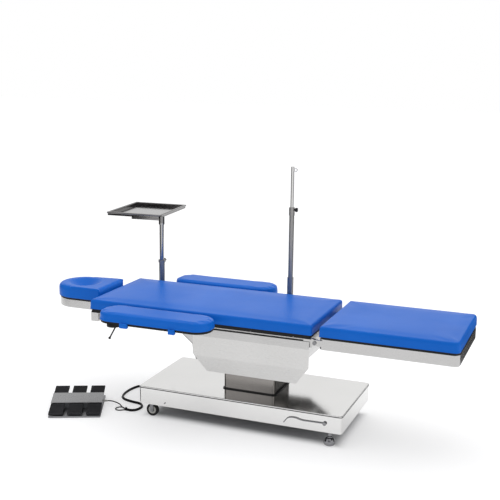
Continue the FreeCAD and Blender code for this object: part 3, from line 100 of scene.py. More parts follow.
# %% Studio lamps
LAMP_TARGET = Vector((0, 0, 0.4))
scene = bpy.context.scene
scene.view_settings.view_transform = "Standard"


def add_lamp(name, place, size, power):
    """A soft rectangular lamp at a place, turned to the table."""
    lamp = bpy.data.objects.new(name, bpy.data.lights.new(name, "AREA"))
    bpy.context.collection.objects.link(lamp)
    lamp.data.shape = "RECTANGLE"
    lamp.data.size, lamp.data.size_y = size
    lamp.data.energy = power
    lamp.location = place
    lamp.rotation_euler = (LAMP_TARGET - Vector(place)).to_track_quat("-Z", "Y").to_euler()


add_lamp("overhead_lamp", (-0.3, 0.2, 3.4), (3.6, 2.8), 30)
add_lamp("front_lamp", (-2.6, -4.2, 2.4), (2.4, 2.4), 14)
print("lamps:", len(bpy.data.lights))

# %% [markdown]
# Every material and the studio's surroundings are made of nodes. A small helper adds one node, sets its
# options and fills in its sockets, so that the cells below read as lists of choices.


# %% Adding a node
def add_node(tree, kind, sockets=None, **options):
    """A new node with its options and the values of some of its input sockets."""
    node = tree.nodes.new(kind)
    for option, value in options.items():
        setattr(node, option, value)
    for socket, value in (sockets or {}).items():
        node.inputs[socket].default_value = value
    return node


# %% [markdown]
# Polished steel only looks like steel when it has something darker to mirror. The surroundings are
# white behind the table and over it, and dimmer on the side that the front panels face. How far a
# direction points to that side is a dot product, and a colour ramp turns it into a shade. Seen
# directly, the surroundings stay plain white from every side: only mirrored rays find the dim side.

# %% The surroundings
DIM_SIDE = (-0.30, -0.95, 0.05)
WHITE_UNTIL, DIM_FROM = 0.25, 0.75
WHITE, DIM_GREY = (1.0, 1.0, 1.0, 1), (0.42, 0.42, 0.44, 1)
world = bpy.data.worlds.new("studio")
scene.world = world
world.use_nodes = True
sky = world.node_tree
backdrop = sky.nodes["Background"]
backdrop.inputs["Strength"].default_value = 1.0
heading = add_node(sky, "ShaderNodeTexCoord")
facing = add_node(sky, "ShaderNodeVectorMath", {1: DIM_SIDE}, operation="DOT_PRODUCT")
dimming = add_node(sky, "ShaderNodeValToRGB")
light_stop, dim_stop = dimming.color_ramp.elements
light_stop.position, light_stop.color = WHITE_UNTIL, WHITE
dim_stop.position, dim_stop.color = DIM_FROM, DIM_GREY
ray = add_node(sky, "ShaderNodeLightPath")
plain = add_node(sky, "ShaderNodeMix", {"B": WHITE}, data_type="RGBA")
sky.links.new(heading.outputs["Generated"], facing.inputs[0])
sky.links.new(facing.outputs["Value"], dimming.inputs["Fac"])
sky.links.new(dimming.outputs["Color"], plain.inputs["A"])
sky.links.new(ray.outputs["Is Camera Ray"], plain.inputs["Factor"])
sky.links.new(plain.outputs["Result"], backdrop.inputs["Color"])
print("surroundings:", len(sky.nodes), "nodes")

# %% [markdown]
# The floor is a single flat square, large enough that its edge is never seen. Nothing more is needed
# for a plain studio floor, and a flat square mirrors evenly in the steel.

# %% Studio floor
FLOOR_HALF = 30
floor_bm = bmesh.new()
bmesh.ops.create_grid(floor_bm, x_segments=1, y_segments=1, size=FLOOR_HALF)
floor_mesh = bpy.data.meshes.new("floor")
floor_bm.to_mesh(floor_mesh)
floor_bm.free()
floor = bpy.data.objects.new("floor", floor_mesh)
bpy.context.collection.objects.link(floor)
print("floor:", 2 * FLOOR_HALF, "m wide")

# %% [markdown]
# The floor's white comes partly from the lamps and partly from a faint painted glow of its own. This is
# painted light, which lifts the soft shadows back to near white. Close under the base the glow fades
# out, and this paints a dark contact shadow round the base. The fade is the distance outside a
# rectangle: the place is folded into one quarter, the rectangle's half size is taken off, and the
# larger rest counts.

# %% The floor's painted glow and painted contact shadow
# painted light: the floor glows, and the glow fades out round the base to paint its contact shadow
SHADE_MIDDLE, SHADE_HALF = spot(-11, 0, 0), (0.45, 0.17, 0)
GLOW, GLOW_FADE = 0.48, 0.08
floor_painted_glow = bpy.data.materials.new("floor_painted_glow")
floor_painted_glow.use_nodes = True
floor_tree = floor_painted_glow.node_tree
floor_shader = floor_tree.nodes["Principled BSDF"]
floor_values = {"Base Color": (0.66, 0.66, 0.665, 1), "Roughness": 0.9, "Specular IOR Level": 0.1,
                "Emission Color": WHITE}
for socket, value in floor_values.items():
    floor_shader.inputs[socket].default_value = value
floor_place = add_node(floor_tree, "ShaderNodeTexCoord")
centred = add_node(floor_tree, "ShaderNodeVectorMath", {1: SHADE_MIDDLE}, operation="SUBTRACT")
folded = add_node(floor_tree, "ShaderNodeVectorMath", operation="ABSOLUTE")
beyond = add_node(floor_tree, "ShaderNodeVectorMath", {1: SHADE_HALF}, operation="SUBTRACT")
rests = add_node(floor_tree, "ShaderNodeSeparateXYZ")
larger = add_node(floor_tree, "ShaderNodeMath", operation="MAXIMUM")
glow_values = {"From Min": 0.0, "From Max": GLOW_FADE, "To Min": 0.0, "To Max": GLOW}
glow = add_node(floor_tree, "ShaderNodeMapRange", glow_values, interpolation_type="SMOOTHSTEP")
floor_links = [
    (floor_place.outputs["Object"], centred.inputs[0]),
    (centred.outputs["Vector"], folded.inputs[0]),
    (folded.outputs["Vector"], beyond.inputs[0]),
    (beyond.outputs["Vector"], rests.inputs["Vector"]),
    (rests.outputs["X"], larger.inputs[0]),
    (rests.outputs["Y"], larger.inputs[1]),
    (larger.outputs["Value"], glow.inputs["Value"]),
    (glow.outputs["Result"], floor_shader.inputs["Emission Strength"]),
]
for source, target in floor_links:
    floor_tree.links.new(source, target)
floor.data.materials.append(floor_painted_glow)
print("floor finish:", len(floor_tree.nodes), "nodes")

# %% [markdown]
# A photographer stands black cards at both sides of shiny tubes, so that their edges mirror something
# dark and the tube reads as round. Two tall cards do the same here, and a low one behind the leg end
# darkens the end faces. Only reflections see them, so they cast no shadow and never stand in the way.

# %% Black cards for the reflections
CARD_TONE = (0.015, 0.015, 0.015, 1)
card_black = bpy.data.materials.new("card_black")
card_black.use_nodes = True
card_black.node_tree.nodes["Principled BSDF"].inputs["Base Color"].default_value = CARD_TONE
sideways = aim @ Vector((1, 0, 0))
inward = Vector((-sideways.y, sideways.x, 0))
# each card: the middle of its foot, its turn in degrees, and its length, bottom and top in metres
cards = {
    "left": (sideways * -2.2 + inward * 0.3, CAMERA_YAW + 90, 3.4, 0.25, 2.4),
    "right": (sideways * 2.2 + inward * 1.0, CAMERA_YAW + 90, 3.4, 0.25, 2.4),
    "low": (Vector((1.75, 0.95, 0)), 0, 1.5, 0.02, 0.40),
}
for label, (foot, turn, length, bottom, top) in cards.items():
    card_bm = bmesh.new()
    bmesh.ops.create_grid(card_bm, x_segments=1, y_segments=1, size=0.5)
    bmesh.ops.scale(card_bm, vec=(length, top - bottom, 1), verts=card_bm.verts)
    bmesh.ops.rotate(card_bm, matrix=Matrix.Rotation(math.radians(90), 3, "X"), verts=card_bm.verts)
    bmesh.ops.rotate(card_bm, matrix=Matrix.Rotation(math.radians(turn), 3, "Z"), verts=card_bm.verts)
    bmesh.ops.translate(card_bm, vec=foot + Vector((0, 0, (bottom + top) / 2)), verts=card_bm.verts)
    card_mesh = bpy.data.meshes.new(f"card_{label}")
    card_bm.to_mesh(card_mesh)
    card_bm.free()
    card = bpy.data.objects.new(f"card_{label}", card_mesh)
    bpy.context.collection.objects.link(card)
    card.data.materials.append(card_black)
    card.visible_camera = card.visible_diffuse = card.visible_shadow = False
print("cards:", len(cards))

# %% [markdown]
# Materials come next. Each finish is one principled shader with plain values to begin with. Real
# surfaces vary a little from place to place, so most finishes then read a noise texture. It is read in
# the piece's own coordinates, so that it stays on the piece when the piece moves.


# %% Starting a finish
def shader_of(finish):
    """The principled shader of a material."""
    return finish.node_tree.nodes["Principled BSDF"]


def start_finish(name, color, roughness, metallic=0.0):
    """A material with plain values for its colour, roughness and metal."""
    finish = bpy.data.materials.new(name)
    finish.use_nodes = True
    shader_of(finish).inputs["Base Color"].default_value = (*color, 1)
    shader_of(finish).inputs["Roughness"].default_value = roughness
    shader_of(finish).inputs["Metallic"].default_value = metallic
    return finish


EVEN = (1, 1, 1)


def noise(finish, stretch, scale, detail):
    """Noise in the piece's coordinates, stretched by three factors."""
    tree = finish.node_tree
    place = add_node(tree, "ShaderNodeTexCoord")
    mapping = add_node(tree, "ShaderNodeMapping", {"Scale": stretch})
    texture = add_node(tree, "ShaderNodeTexNoise", {"Scale": scale, "Detail": detail})
    tree.links.new(place.outputs["Object"], mapping.inputs["Vector"])
    tree.links.new(mapping.outputs["Vector"], texture.inputs["Vector"])
    return texture.outputs["Fac"]


# %% [markdown]
# A noise texture can act on three things: the colour, the roughness and the height of the surface.
# Noise lies mostly between 0.3 and 0.7, so that range is stretched first. The bump helper can be used
# twice, because each new relief builds on the normal of the one before.


# %% What a noise acts on
NOISE_LOW, NOISE_HIGH = 0.3, 0.7


def spread(finish, source, low, high):
    """Stretches the middle range of a noise between two numbers."""
    change = add_node(finish.node_tree, "ShaderNodeMapRange",
                      {"From Min": NOISE_LOW, "From Max": NOISE_HIGH, "To Min": low, "To Max": high})
    finish.node_tree.links.new(source, change.inputs["Value"])
    return change.outputs["Result"]


def vary_roughness(finish, source, low, high):
    finish.node_tree.links.new(spread(finish, source, low, high), shader_of(finish).inputs["Roughness"])


def vary_colour(finish, source, low, high):
    """Blends the base colour between two colours."""
    blend = add_node(finish.node_tree, "ShaderNodeMix", {"A": (*low, 1), "B": (*high, 1)},
                     data_type="RGBA")
    finish.node_tree.links.new(spread(finish, source, 0.0, 1.0), blend.inputs["Factor"])
    finish.node_tree.links.new(blend.outputs["Result"], shader_of(finish).inputs["Base Color"])


def raise_surface(finish, source, depth, strength):
    """Raises the surface by a noise, by a depth in metres."""
    relief = add_node(finish.node_tree, "ShaderNodeBump", {"Distance": depth, "Strength": strength})
    finish.node_tree.links.new(source, relief.inputs["Height"])
    before = shader_of(finish).inputs["Normal"].links
    if before:
        finish.node_tree.links.new(before[0].from_socket, relief.inputs["Normal"])
    finish.node_tree.links.new(relief.outputs["Normal"], shader_of(finish).inputs["Normal"])


# %% [markdown]
# Stainless sheet on hospital equipment is brushed along its length. The brushing is noise stretched
# almost to lines: along X for the long panels, and up the wall for the column. It changes the
# roughness a little and barely raises the surface, as real brushing does. Polished tubes and cast
# parts use the same helper with short grains.

# %% Steel finishes
LINE_SCALE, LINE_DEPTH, CLOUD_SCALE, CLOUD_SHADE = 60, 0.00003, 2.2, 0.93


def brushed_steel(name, grain, tone, low, high):
    """Steel with a grain direction, a tone, and a lowest and highest roughness."""
    finish = start_finish(name, tone, low, metallic=1.0)
    lines = noise(finish, grain, LINE_SCALE, 6)
    vary_roughness(finish, lines, low, high)
    raise_surface(finish, lines, LINE_DEPTH, 0.5)
    vary_colour(finish, noise(finish, EVEN, CLOUD_SCALE, 2), tuple(v * CLOUD_SHADE for v in tone), tone)
    return finish


ALONG_X, ALONG_Y, ALONG_Z = (0.4, 26, 26), (20, 0.4, 20), (26, 26, 0.4)
FINE, POLISHED, CAST = (30, 30, 30), (3, 3, 3), (8, 8, 8)
steel_base = brushed_steel("steel_brushed_base", ALONG_X, (0.74, 0.735, 0.725), 0.10, 0.17)
steel_along = brushed_steel("steel_brushed_along", ALONG_X, (0.60, 0.595, 0.585), 0.20, 0.32)
steel_frame = brushed_steel("steel_brushed_frame", ALONG_X, (0.52, 0.515, 0.51), 0.20, 0.30)
steel_bar = brushed_steel("steel_brushed_bar", FINE, (0.31, 0.31, 0.315), 0.24, 0.40)
# painted reflection: the column's steel is toned dark to stand for the dim floor and studio that it
# would mirror
steel_upright_painted_dark = brushed_steel("steel_brushed_upright", ALONG_Z, (0.285, 0.27, 0.255), 0.18, 0.28)
steel_tube = brushed_steel("steel_tube", POLISHED, (0.40, 0.40, 0.405), 0.08, 0.14)
steel_socket = brushed_steel("steel_socket", POLISHED, (0.36, 0.35, 0.335), 0.30, 0.42)
steel_rod = brushed_steel("steel_rod", POLISHED, (0.66, 0.655, 0.65), 0.08, 0.14)
steel_tray = brushed_steel("steel_tray", ALONG_Y, (0.24, 0.235, 0.235), 0.08, 0.15)
steel_chrome = brushed_steel("steel_chrome", POLISHED, (0.26, 0.26, 0.27), 0.04, 0.09)
steel_dull = brushed_steel("steel_dull", CAST, (0.26, 0.26, 0.27), 0.35, 0.5)
print("steel finishes:", sum(m.name.startswith("steel") for m in bpy.data.materials))

# %% [markdown]
# The cushions' cover is a blue vinyl with a soft sheen. It has two reliefs: a fine pebble grain, which
# only breaks up the highlights, and a very shallow unevenness where the cover lies on the foam. The
# specular level is low, because at this flat viewing angle a higher one would wash the blue out.

# %% Vinyl finish
vinyl_blue = start_finish("vinyl_blue", (0.006, 0.125, 0.56), 0.34)
shader_of(vinyl_blue).inputs["Specular IOR Level"].default_value = 0.10
vary_colour(vinyl_blue, noise(vinyl_blue, EVEN, 3.0, 3), (0.0052, 0.118, 0.535), (0.0066, 0.133, 0.585))
vary_roughness(vinyl_blue, noise(vinyl_blue, EVEN, 4.0, 4), 0.30, 0.38)
raise_surface(vinyl_blue, noise(vinyl_blue, EVEN, 900, 2), 0.00012, 0.3)
raise_surface(vinyl_blue, noise(vinyl_blue, EVEN, 5, 2), 0.0010, 0.12)
print("vinyl:", len(vinyl_blue.node_tree.nodes), "nodes")

# %% [markdown]
# The dull parts are a laminate board, moulded plastic, rubber, the cord's sheath and painted castings.
# They differ in tone, in how they scatter light and in the size of their grain, so one helper with
# those numbers makes them all.

# %% Board, plastic, rubber and paint finishes
GRAIN_STRENGTH, TONE_SCALE, ROUGHNESS_SPREAD = 0.4, 12, 0.06
DULL_SPECULAR, DARKER, LIGHTER = 0.25, 0.8, 1.15


def dull_finish(name, tone, roughness, grain, depth):
    """A dull finish with a tone, a roughness, and a grain of a scale and depth."""
    finish = start_finish(name, tone, roughness)
    shader_of(finish).inputs["Specular IOR Level"].default_value = DULL_SPECULAR
    speckle = noise(finish, EVEN, grain, 3)
    vary_roughness(finish, speckle, roughness - ROUGHNESS_SPREAD, roughness + ROUGHNESS_SPREAD)
    raise_surface(finish, speckle, depth, GRAIN_STRENGTH)
    vary_colour(finish, noise(finish, EVEN, TONE_SCALE, 2), tuple(v * DARKER for v in tone),
                tuple(v * LIGHTER for v in tone))
    return finish


board_black = dull_finish("board_black", (0.005, 0.005, 0.006), 0.5, 300, 0.00005)
plastic_black = dull_finish("plastic_black", (0.007, 0.007, 0.008), 0.34, 700, 0.00005)
rubber_black = dull_finish("rubber_black", (0.010, 0.010, 0.011), 0.62, 900, 0.00008)
pedal_rubber = dull_finish("pedal_rubber", (0.013, 0.013, 0.016), 0.55, 800, 0.00008)
cord_sheath = dull_finish("cord_sheath", (0.006, 0.006, 0.007), 0.42, 500, 0.00004)
paint_grey = dull_finish("paint_grey", (0.16, 0.165, 0.175), 0.42, 400, 0.00004)
relief_pale = dull_finish("relief_pale", (0.46, 0.46, 0.43), 0.45, 600, 0.00004)
print("finishes in all:", len(bpy.data.materials))

# %% [markdown]
# The solids that already have the right shape only change their finish. A short list ties each
# finish to the solids that wear it, so the whole table's look can be read in one place.

# %% Finishes on the solids
wears = {
    steel_base: ["base_cover"],
    steel_along: ["skirt_front", "skirt_rear"],
    steel_frame: ["mechanism_cowl", "main_frame", "leg_frame", "head_frame"],
    steel_bar: ["switch_bar"],
    steel_upright_painted_dark: ["column_outer", "column_middle", "guide_column"],
    steel_tube: ["tray_pole"],
    steel_socket: ["drip_socket", "tray_socket"],
    steel_rod: ["drip_rod", "lift_ram_middle", "lift_ram_top", "tilt_cross"],
    steel_tray: ["tray"],
    steel_chrome: ["levelling_foot_front", "levelling_foot_rear"],
    steel_dull: ["caster_fork_front", "caster_fork_rear", "hinge_pins", "switch_plate"],
    paint_grey: ["base_chassis", "pump_unit", "lift_cylinder", "tilt_yoke", "table_saddle",
                 "switch_housing"],
    board_black: ["arm_brackets", "main_board", "leg_board", "head_board", "arm_board_front",
                  "arm_board_rear"],
    plastic_black: ["column_collar", "cable_gland", "arm_lever_front", "arm_lever_rear", "drip_knob",
                    "tray_knob"],
    rubber_black: ["caster_wheel_front", "caster_wheel_rear"],
    pedal_rubber: [name for name in nodes if name.startswith("pedal_")],
    relief_pale: ["strain_relief"],
    cord_sheath: ["cord_lead", "cord_hank", "cord_tail"],
}
for finish, names in wears.items():
    for name in names:
        solid = nodes[name]
        if not solid.material_slots:
            solid.data.materials.append(finish)
        for place in solid.material_slots:
            place.material = finish
print("finished solids:", sum(len(names) for names in wears.values()))

# %% [markdown]
# The foot switch talks to the table through a thin black cord of about two metres. Most of it is
# folded into a hank of three strands with a tie at the near end, and the rest runs from the hank to a
# gland in the base's head end. A cord is flexible and has one length, so one smooth spline follows the
# whole way. This cell lists the points of its three runs, in millimetres from the column: the lead out
# of the switch, the middle line of the hank, and the tail up to the gland.

# %% The cord's three runs
SWITCH_TURN = math.radians(25)
ALONG = Vector((math.cos(SWITCH_TURN), math.sin(SWITCH_TURN), 0))
DEEP = Vector((-math.sin(SWITCH_TURN), math.cos(SWITCH_TURN), 0))
SWITCH_CORNER = Vector((-920, -450, 20))
relief_tip = SWITCH_CORNER + ALONG * 274 + DEEP * 178
lead = [relief_tip, relief_tip + ALONG * 20]
lead += [Vector(p) for p in [(-698, -163, 14), (-682, -167, 11), (-668, -179, 10.5), (-656, -192, 10.5),
                             (-643, -203, 10)]]
hank = [Vector((x, y, 0)) for x, y in [
    (-629, -208), (-614, -209), (-590, -210.6), (-570, -195), (-563, -160), (-572, -125), (-600, -107),
    (-640, -103), (-682, -93), (-713, -75), (-733, -45), (-741, -2), (-742, 44), (-735, 88),
    (-719, 122), (-697, 147)]]
tail = [Vector(p) for p in [(-683, 162, 5), (-671, 172, 10), (-656, 180, 18), (-641, 184, 34),
                            (-627, 186, 58), (-613, 186, 84), (-594, 185, 103), (-570, 184, 112),
                            (-545, 184, 112)]]
print("points:", len(lead), len(hank), len(tail))

# %% [markdown]
# The three strands of the hank are the same line moved sideways: one lies on top of two, side by side,
# as a folded cord settles. At each end the cord turns back in an open loop, because a cord folded
# tighter than about three times its thickness would kink.

# %% Strands and folds
CORD_RADIUS = 3.0
STRAND_APART = 3.3
LOW, HIGH = 3.2, 9.6
FOLD_HALF = [(13.4, 17.3), (25.5, 23.3), (39.9, 20.4), (49.4, 8.7)]


def strand(aside, height):
    """One strand of the hank: its middle line moved sideways and up."""
    moved = []
    for index, point in enumerate(hank):
        ahead = hank[min(index + 1, len(hank) - 1)] - hank[max(index - 1, 0)]
        left = Vector((-ahead.y, ahead.x, 0)).normalized()
        moved.append(point + left * aside + Vector((0, 0, height)))
    return moved


def fold(end, before, low, high):
    """An open loop past a hank's end, rising or falling from one height to another."""
    out = (end - before).normalized()
    left = Vector((-out.y, out.x, 0))
    steps = [(far, -side) for far, side in FOLD_HALF] + FOLD_HALF[::-1]
    points = []
    for index, (far, side) in enumerate(steps):
        rise = low + (high - low) * index / (len(steps) - 1)
        points.append(end + out * far + left * side + Vector((0, 0, rise)))
    return points


first, second, third = strand(0, HIGH), strand(STRAND_APART, LOW), strand(-STRAND_APART, LOW)
far_fold = fold(hank[-1], hank[-2], HIGH, LOW)
near_fold = fold(hank[0], hank[1], LOW, LOW)
route = lead + first + far_fold + second[::-1] + near_fold + third + tail
route = [COLUMN_FOOT + point * MM for point in route]
print("points of the route:", len(route))

# %% [markdown]
# Round wire and cord are easiest to draw as a curve with thickness. A NURBS spline of order 3 rounds
# every corner of its points by itself, and starts and ends exactly at the first and last one.


# %% Drawing round wire
def draw_wire(name, places, radius, finish, sides, fineness):
    """A smooth round wire along some places in metres, with a radius in millimetres."""
    line = bpy.data.curves.new(name, "CURVE")
    line.dimensions = "3D"
    line.bevel_depth = radius * MM
    line.bevel_resolution = sides
    spline = line.splines.new("NURBS")
    spline.points.add(len(places) - 1)
    for point, place in zip(spline.points, places):
        point.co = (*place, 1)
    spline.order_u = 3
    spline.use_endpoint_u = True
    spline.resolution_u = fineness
    wire = bpy.data.objects.new(name, line)
    bpy.context.collection.objects.link(wire)
    line.materials.append(finish)
    return wire


def length_of(wire):
    """The drawn length of a wire, measured without its thickness."""
    depth, wire.data.bevel_depth = wire.data.bevel_depth, 0
    line = bpy.data.meshes.new_from_object(wire.evaluated_get(bpy.context.evaluated_depsgraph_get()))
    wire.data.bevel_depth = depth
    places = [v.co.copy() for v in line.vertices]
    bpy.data.meshes.remove(line)
    return sum((b - a).length for a, b in zip(places, places[1:]))


# %% [markdown]
# The cord is such a wire along the whole route. It rides on the base, where it is fixed, and stands
# for the three solids of its runs. Its length is measured on the curve with its thickness off.

# %% The cord
cord = draw_wire("cord", route, CORD_RADIUS, cord_sheath, sides=5, fineness=8)
bpy.context.view_layer.update()
cord_length = length_of(cord)
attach(cord, "base")
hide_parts("cord_lead", "cord_hank", "cord_tail")
print("cord length:", round(cord_length, 3))


# %% [markdown]
# Every new mesh goes through one helper. It takes a finished bmesh, gives it a material, lets it ride
# on a body of the table, and names the solids that it stands for.


# %% From bmesh to a finished piece
def make_piece(name, bm, body, material, stands_for=(), smooth=True):
    """A mesh object from a bmesh, with its finish, its body and the solids it replaces."""
    bmesh.ops.recalc_face_normals(bm, faces=bm.faces)
    mesh = bpy.data.meshes.new(name)
    bm.to_mesh(mesh)
    bm.free()
    piece = bpy.data.objects.new(name, mesh)
    bpy.context.collection.objects.link(piece)
    mesh.materials.append(material)
    if smooth:
        mesh.shade_smooth()
    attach(piece, body)
    if stands_for:
        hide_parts(*stands_for)
    return piece


def evaluated_copy(piece):
    """The mesh of a piece with its modifiers applied."""
    graph = bpy.context.evaluated_depsgraph_get()
    graph.update()
    return bpy.data.meshes.new_from_object(piece.evaluated_get(graph))


# %% [markdown]
# A table cushion is foam under tight vinyl on a flat board. Its outline is exact, and its edges are
# soft. It starts as a block whose upright corners and upper rim are bevelled round, which is quicker
# and truer to size than pushing points about by hand.


# %% The cushion's block
def rounded_block(low, high, corner, edge, far_corner=None):
    """A block with round upright corners, larger at the +X end if asked for, and a round rim."""
    bm = bmesh.new()
    bmesh.ops.create_cube(bm, size=1)
    middle, size = (low + high) / 2, high - low
    bmesh.ops.scale(bm, vec=size, verts=bm.verts)
    bmesh.ops.translate(bm, vec=middle, verts=bm.verts)
    uprights = [e for e in bm.edges if abs(e.verts[0].co.z - e.verts[1].co.z) > size.z / 2]
    near = [e for e in uprights if e.verts[0].co.x < middle.x]
    far = [e for e in uprights if e.verts[0].co.x > middle.x]
    for picked, radius in ((near, corner), (far, far_corner or corner)):
        bmesh.ops.bevel(bm, geom=picked, offset=radius, segments=10, profile=0.5, affect="EDGES",
                        material=-1)
    rim = [e for e in bm.edges if min(v.co.z for v in e.verts) > high.z - 1e-5]
    bmesh.ops.bevel(bm, geom=rim, offset=edge, segments=6, profile=0.5, affect="EDGES", material=-1)
    return bm


# %% [markdown]
# Cloth pressure makes the block a cushion: its top swells by a few millimetres and its sides belly
# between the corners. Cloth needs even squares, so the block is remeshed first. The rim at the board is
# held, and how far a point may move is capped, so the pad keeps its size.

# %% Blowing a cushion up
PRESSURE = 4.0
SIM_FRAMES = 20
HELD_RIM = 0.006


def even_squares(piece, voxel):
    """Replaces a piece's mesh by even squares of a size."""
    remesh = piece.modifiers.new("even_squares", "REMESH")
    remesh.mode = "VOXEL"
    remesh.voxel_size = voxel
    squares = evaluated_copy(piece)
    piece.modifiers.clear()
    old, piece.data = piece.data, squares
    bpy.data.meshes.remove(old)


def blow_up(piece, cap, held_below):
    """Lets cloth pressure round a mesh above a height, each point by a capped distance."""
    held = piece.vertex_groups.new(name="held")
    held.add([v.index for v in piece.data.vertices if v.co.z < held_below], 1.0, "REPLACE")
    before = [v.co.copy() for v in piece.data.vertices]
    cloth = piece.modifiers.new("foam_pressure", "CLOTH")
    cloth.settings.quality = 4
    cloth.settings.vertex_group_mass = "held"
    cloth.settings.use_pressure = True
    cloth.settings.uniform_pressure_force = PRESSURE
    cloth.settings.effector_weights.gravity = 0
    cloth.collision_settings.use_collision = False
    for step in range(1, SIM_FRAMES + 1):
        scene.frame_set(step)
    blown = evaluated_copy(piece)
    piece.modifiers.clear()
    piece.vertex_groups.clear()
    for vertex, start, end in zip(piece.data.vertices, before, [v.co for v in blown.vertices]):
        move = end - start
        vertex.co = start + move * min(1, cap / max(move.length, 1e-9))
    bpy.data.meshes.remove(blown)
    scene.frame_set(1)


# %% [markdown]
# At its foot a cushion shows a black edge strip. It stands for the black line of the board under the
# pad, and it is partly painted shade: it darkens the cushion's foot and the gaps between the cushions,
# where shade falls. It is the lowest few millimetres of the same mesh in another finish. A cut round
# the mesh at the strip's height gives the two finishes a straight border.

# %% The edge strip and the whole cushion
EDGE_STRIP = 0.0035


def swell(piece, voxel, cap, foot):
    """Makes a finished cushion of a block whose underside is at a height."""
    even_squares(piece, voxel)
    squares = piece.data
    ring = bmesh.new()
    ring.from_mesh(squares)
    bmesh.ops.bisect_plane(ring, geom=ring.verts[:] + ring.edges[:] + ring.faces[:],
                           plane_co=(0, 0, foot + EDGE_STRIP), plane_no=(0, 0, 1))
    ring.to_mesh(squares)
    ring.free()
    blow_up(piece, cap, foot + HELD_RIM)
    squares.shade_smooth()
    if not squares.materials:
        squares.materials.append(vinyl_blue)
    # the black foot strip: the board's line, and partly painted shade in the gaps between the cushions
    squares.materials.append(board_black)
    for square in squares.polygons:
        if square.center.z < foot + EDGE_STRIP:
            square.material_index = 1
    smooth = piece.modifiers.new("soft_surface", "SUBSURF")
    smooth.levels = smooth.render_levels = 1
    print(piece.name, "faces:", len(squares.polygons))


# %% [markdown]
# The main, leg and arm cushions are such blocks in the space of their solids. They start lower than
# their solids by part of the cap, and swell back to the full height. The arm cushions have half-round
# ends, so their corners are nearly half as large as they are wide.

# %% Main, leg and arm cushions
CAP = 0.003
LOWERED = 0.4


def make_cushion(name, node, body, corner, edge, voxel, far_corner=None):
    """A cushion in the space of its solid."""
    low, high = (Vector(v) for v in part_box(node))
    bm = rounded_block(low, high - Vector((0, 0, LOWERED * CAP)), corner, edge, far_corner)
    pad = make_piece(name, bm, body, vinyl_blue, [node])
    swell(pad, voxel, CAP, low.z)


make_cushion("main_cushion", "main_pad", "table", 0.010, 0.010, 0.008)
make_cushion("leg_cushion", "leg_pad", "leg_section", 0.012, 0.010, 0.008, far_corner=0.030)
for side in ("front", "rear"):
    make_cushion(f"arm_cushion_{side}", f"arm_pad_{side}", f"arm_{side}", 0.074, 0.012, 0.006)

# %% [markdown]
# The head rest is half round at its free end and straight at the table. A circle is cut in half, its
# cut edge is drawn out to the straight end, and the outline is raised to a block with rounded edges. A
# circle from the start gives a truer half-round end than bevelled corners that meet would.

# %% The head cushion's block
HEAD_CORNER, HEAD_EDGE, HEAD_VOXEL = 0.045, 0.022, 0.005
head_low, head_high = (Vector(v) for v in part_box("head_pad"))
head_half = (head_high.y - head_low.y) / 2
head_round = Vector((head_low.x + head_half, (head_low.y + head_high.y) / 2, head_low.z))
head_top = head_high.z - LOWERED * CAP
head_bm = bmesh.new()
bmesh.ops.create_circle(head_bm, cap_ends=True, segments=96, radius=head_half)
bmesh.ops.translate(head_bm, vec=head_round, verts=head_bm.verts)
bmesh.ops.bisect_plane(head_bm, geom=head_bm.verts[:] + head_bm.edges[:] + head_bm.faces[:],
                       plane_co=head_round, plane_no=(1, 0, 0), clear_outer=True)
cut_edge = [e for e in head_bm.edges if min(v.co.x for v in e.verts) > head_round.x - 1e-5]
drawn = bmesh.ops.extrude_edge_only(head_bm, edges=cut_edge)["geom"]
bmesh.ops.translate(head_bm, vec=(head_high.x - head_round.x, 0, 0),
                    verts=[v for v in drawn if isinstance(v, bmesh.types.BMVert)])
raised = bmesh.ops.extrude_face_region(head_bm, geom=head_bm.faces[:])["geom"]
bmesh.ops.translate(head_bm, vec=(0, 0, head_top - head_low.z),
                    verts=[v for v in raised if isinstance(v, bmesh.types.BMVert)])
print("head outline:", round(2 * head_half, 3), "m wide")

# %% [markdown]
# The two corners at the table are rounded first and the upper rim after them, so that the rim runs on
# round the corners without a break. The rim's edges are the ones at the top that touch an upright face.

# %% Round edges of the head cushion
head_corners = [e for e in head_bm.edges if min(v.co.x for v in e.verts) > head_high.x - 1e-5
                and abs(e.verts[0].co.z - e.verts[1].co.z) > 0.01]
bmesh.ops.bevel(head_bm, geom=head_corners, offset=HEAD_CORNER, segments=8, profile=0.5, affect="EDGES",
                material=-1)
bmesh.ops.recalc_face_normals(head_bm, faces=head_bm.faces)
head_rim = [e for e in head_bm.edges if min(v.co.z for v in e.verts) > head_top - 1e-5
            and any(abs(f.normal.z) < 0.5 for f in e.link_faces)]
bmesh.ops.bevel(head_bm, geom=head_rim, offset=HEAD_EDGE, segments=6, profile=0.5, affect="EDGES",
                material=-1)
head_cushion = make_piece("head_cushion", head_bm, "head_section", vinyl_blue,
                          ["head_pad"])
swell(head_cushion, HEAD_VOXEL, CAP, head_low.z)

# %% [markdown]
# The hollow for the head is pressed in last, after the remesh, so that the even squares follow it. A
# cosine bowl is steepest half way in and flat at its rim and floor, like foam pressed by a head. An
# exponent a little under one makes the floor wider. Only points well above the foot are moved, so the
# underside stays flat.

# %% The hollow for the head
HOLLOW_RADIUS, HOLLOW_DEPTH, HOLLOW_WIDTH = 0.094, 0.031, 0.8
UNDERSIDE = 0.03
hollow_middle = spot(-968, 0, 0)
for vertex in head_cushion.data.vertices:
    if vertex.co.z > head_low.z + UNDERSIDE:
        away = (vertex.co.xy - hollow_middle.xy).length / HOLLOW_RADIUS
        if away < 1:
            vertex.co.z -= HOLLOW_DEPTH * (0.5 + 0.5 * math.cos(math.pi * away)) ** HOLLOW_WIDTH
print("hollow depth:", HOLLOW_DEPTH)

# %% [markdown]
# Small trim brings the table to life. Most of it is one block with its edges rounded or a round disc,
# so two helpers make those and the pieces differ in their places. A real edge is never perfectly
# sharp, and the narrow round edge is what catches the light.


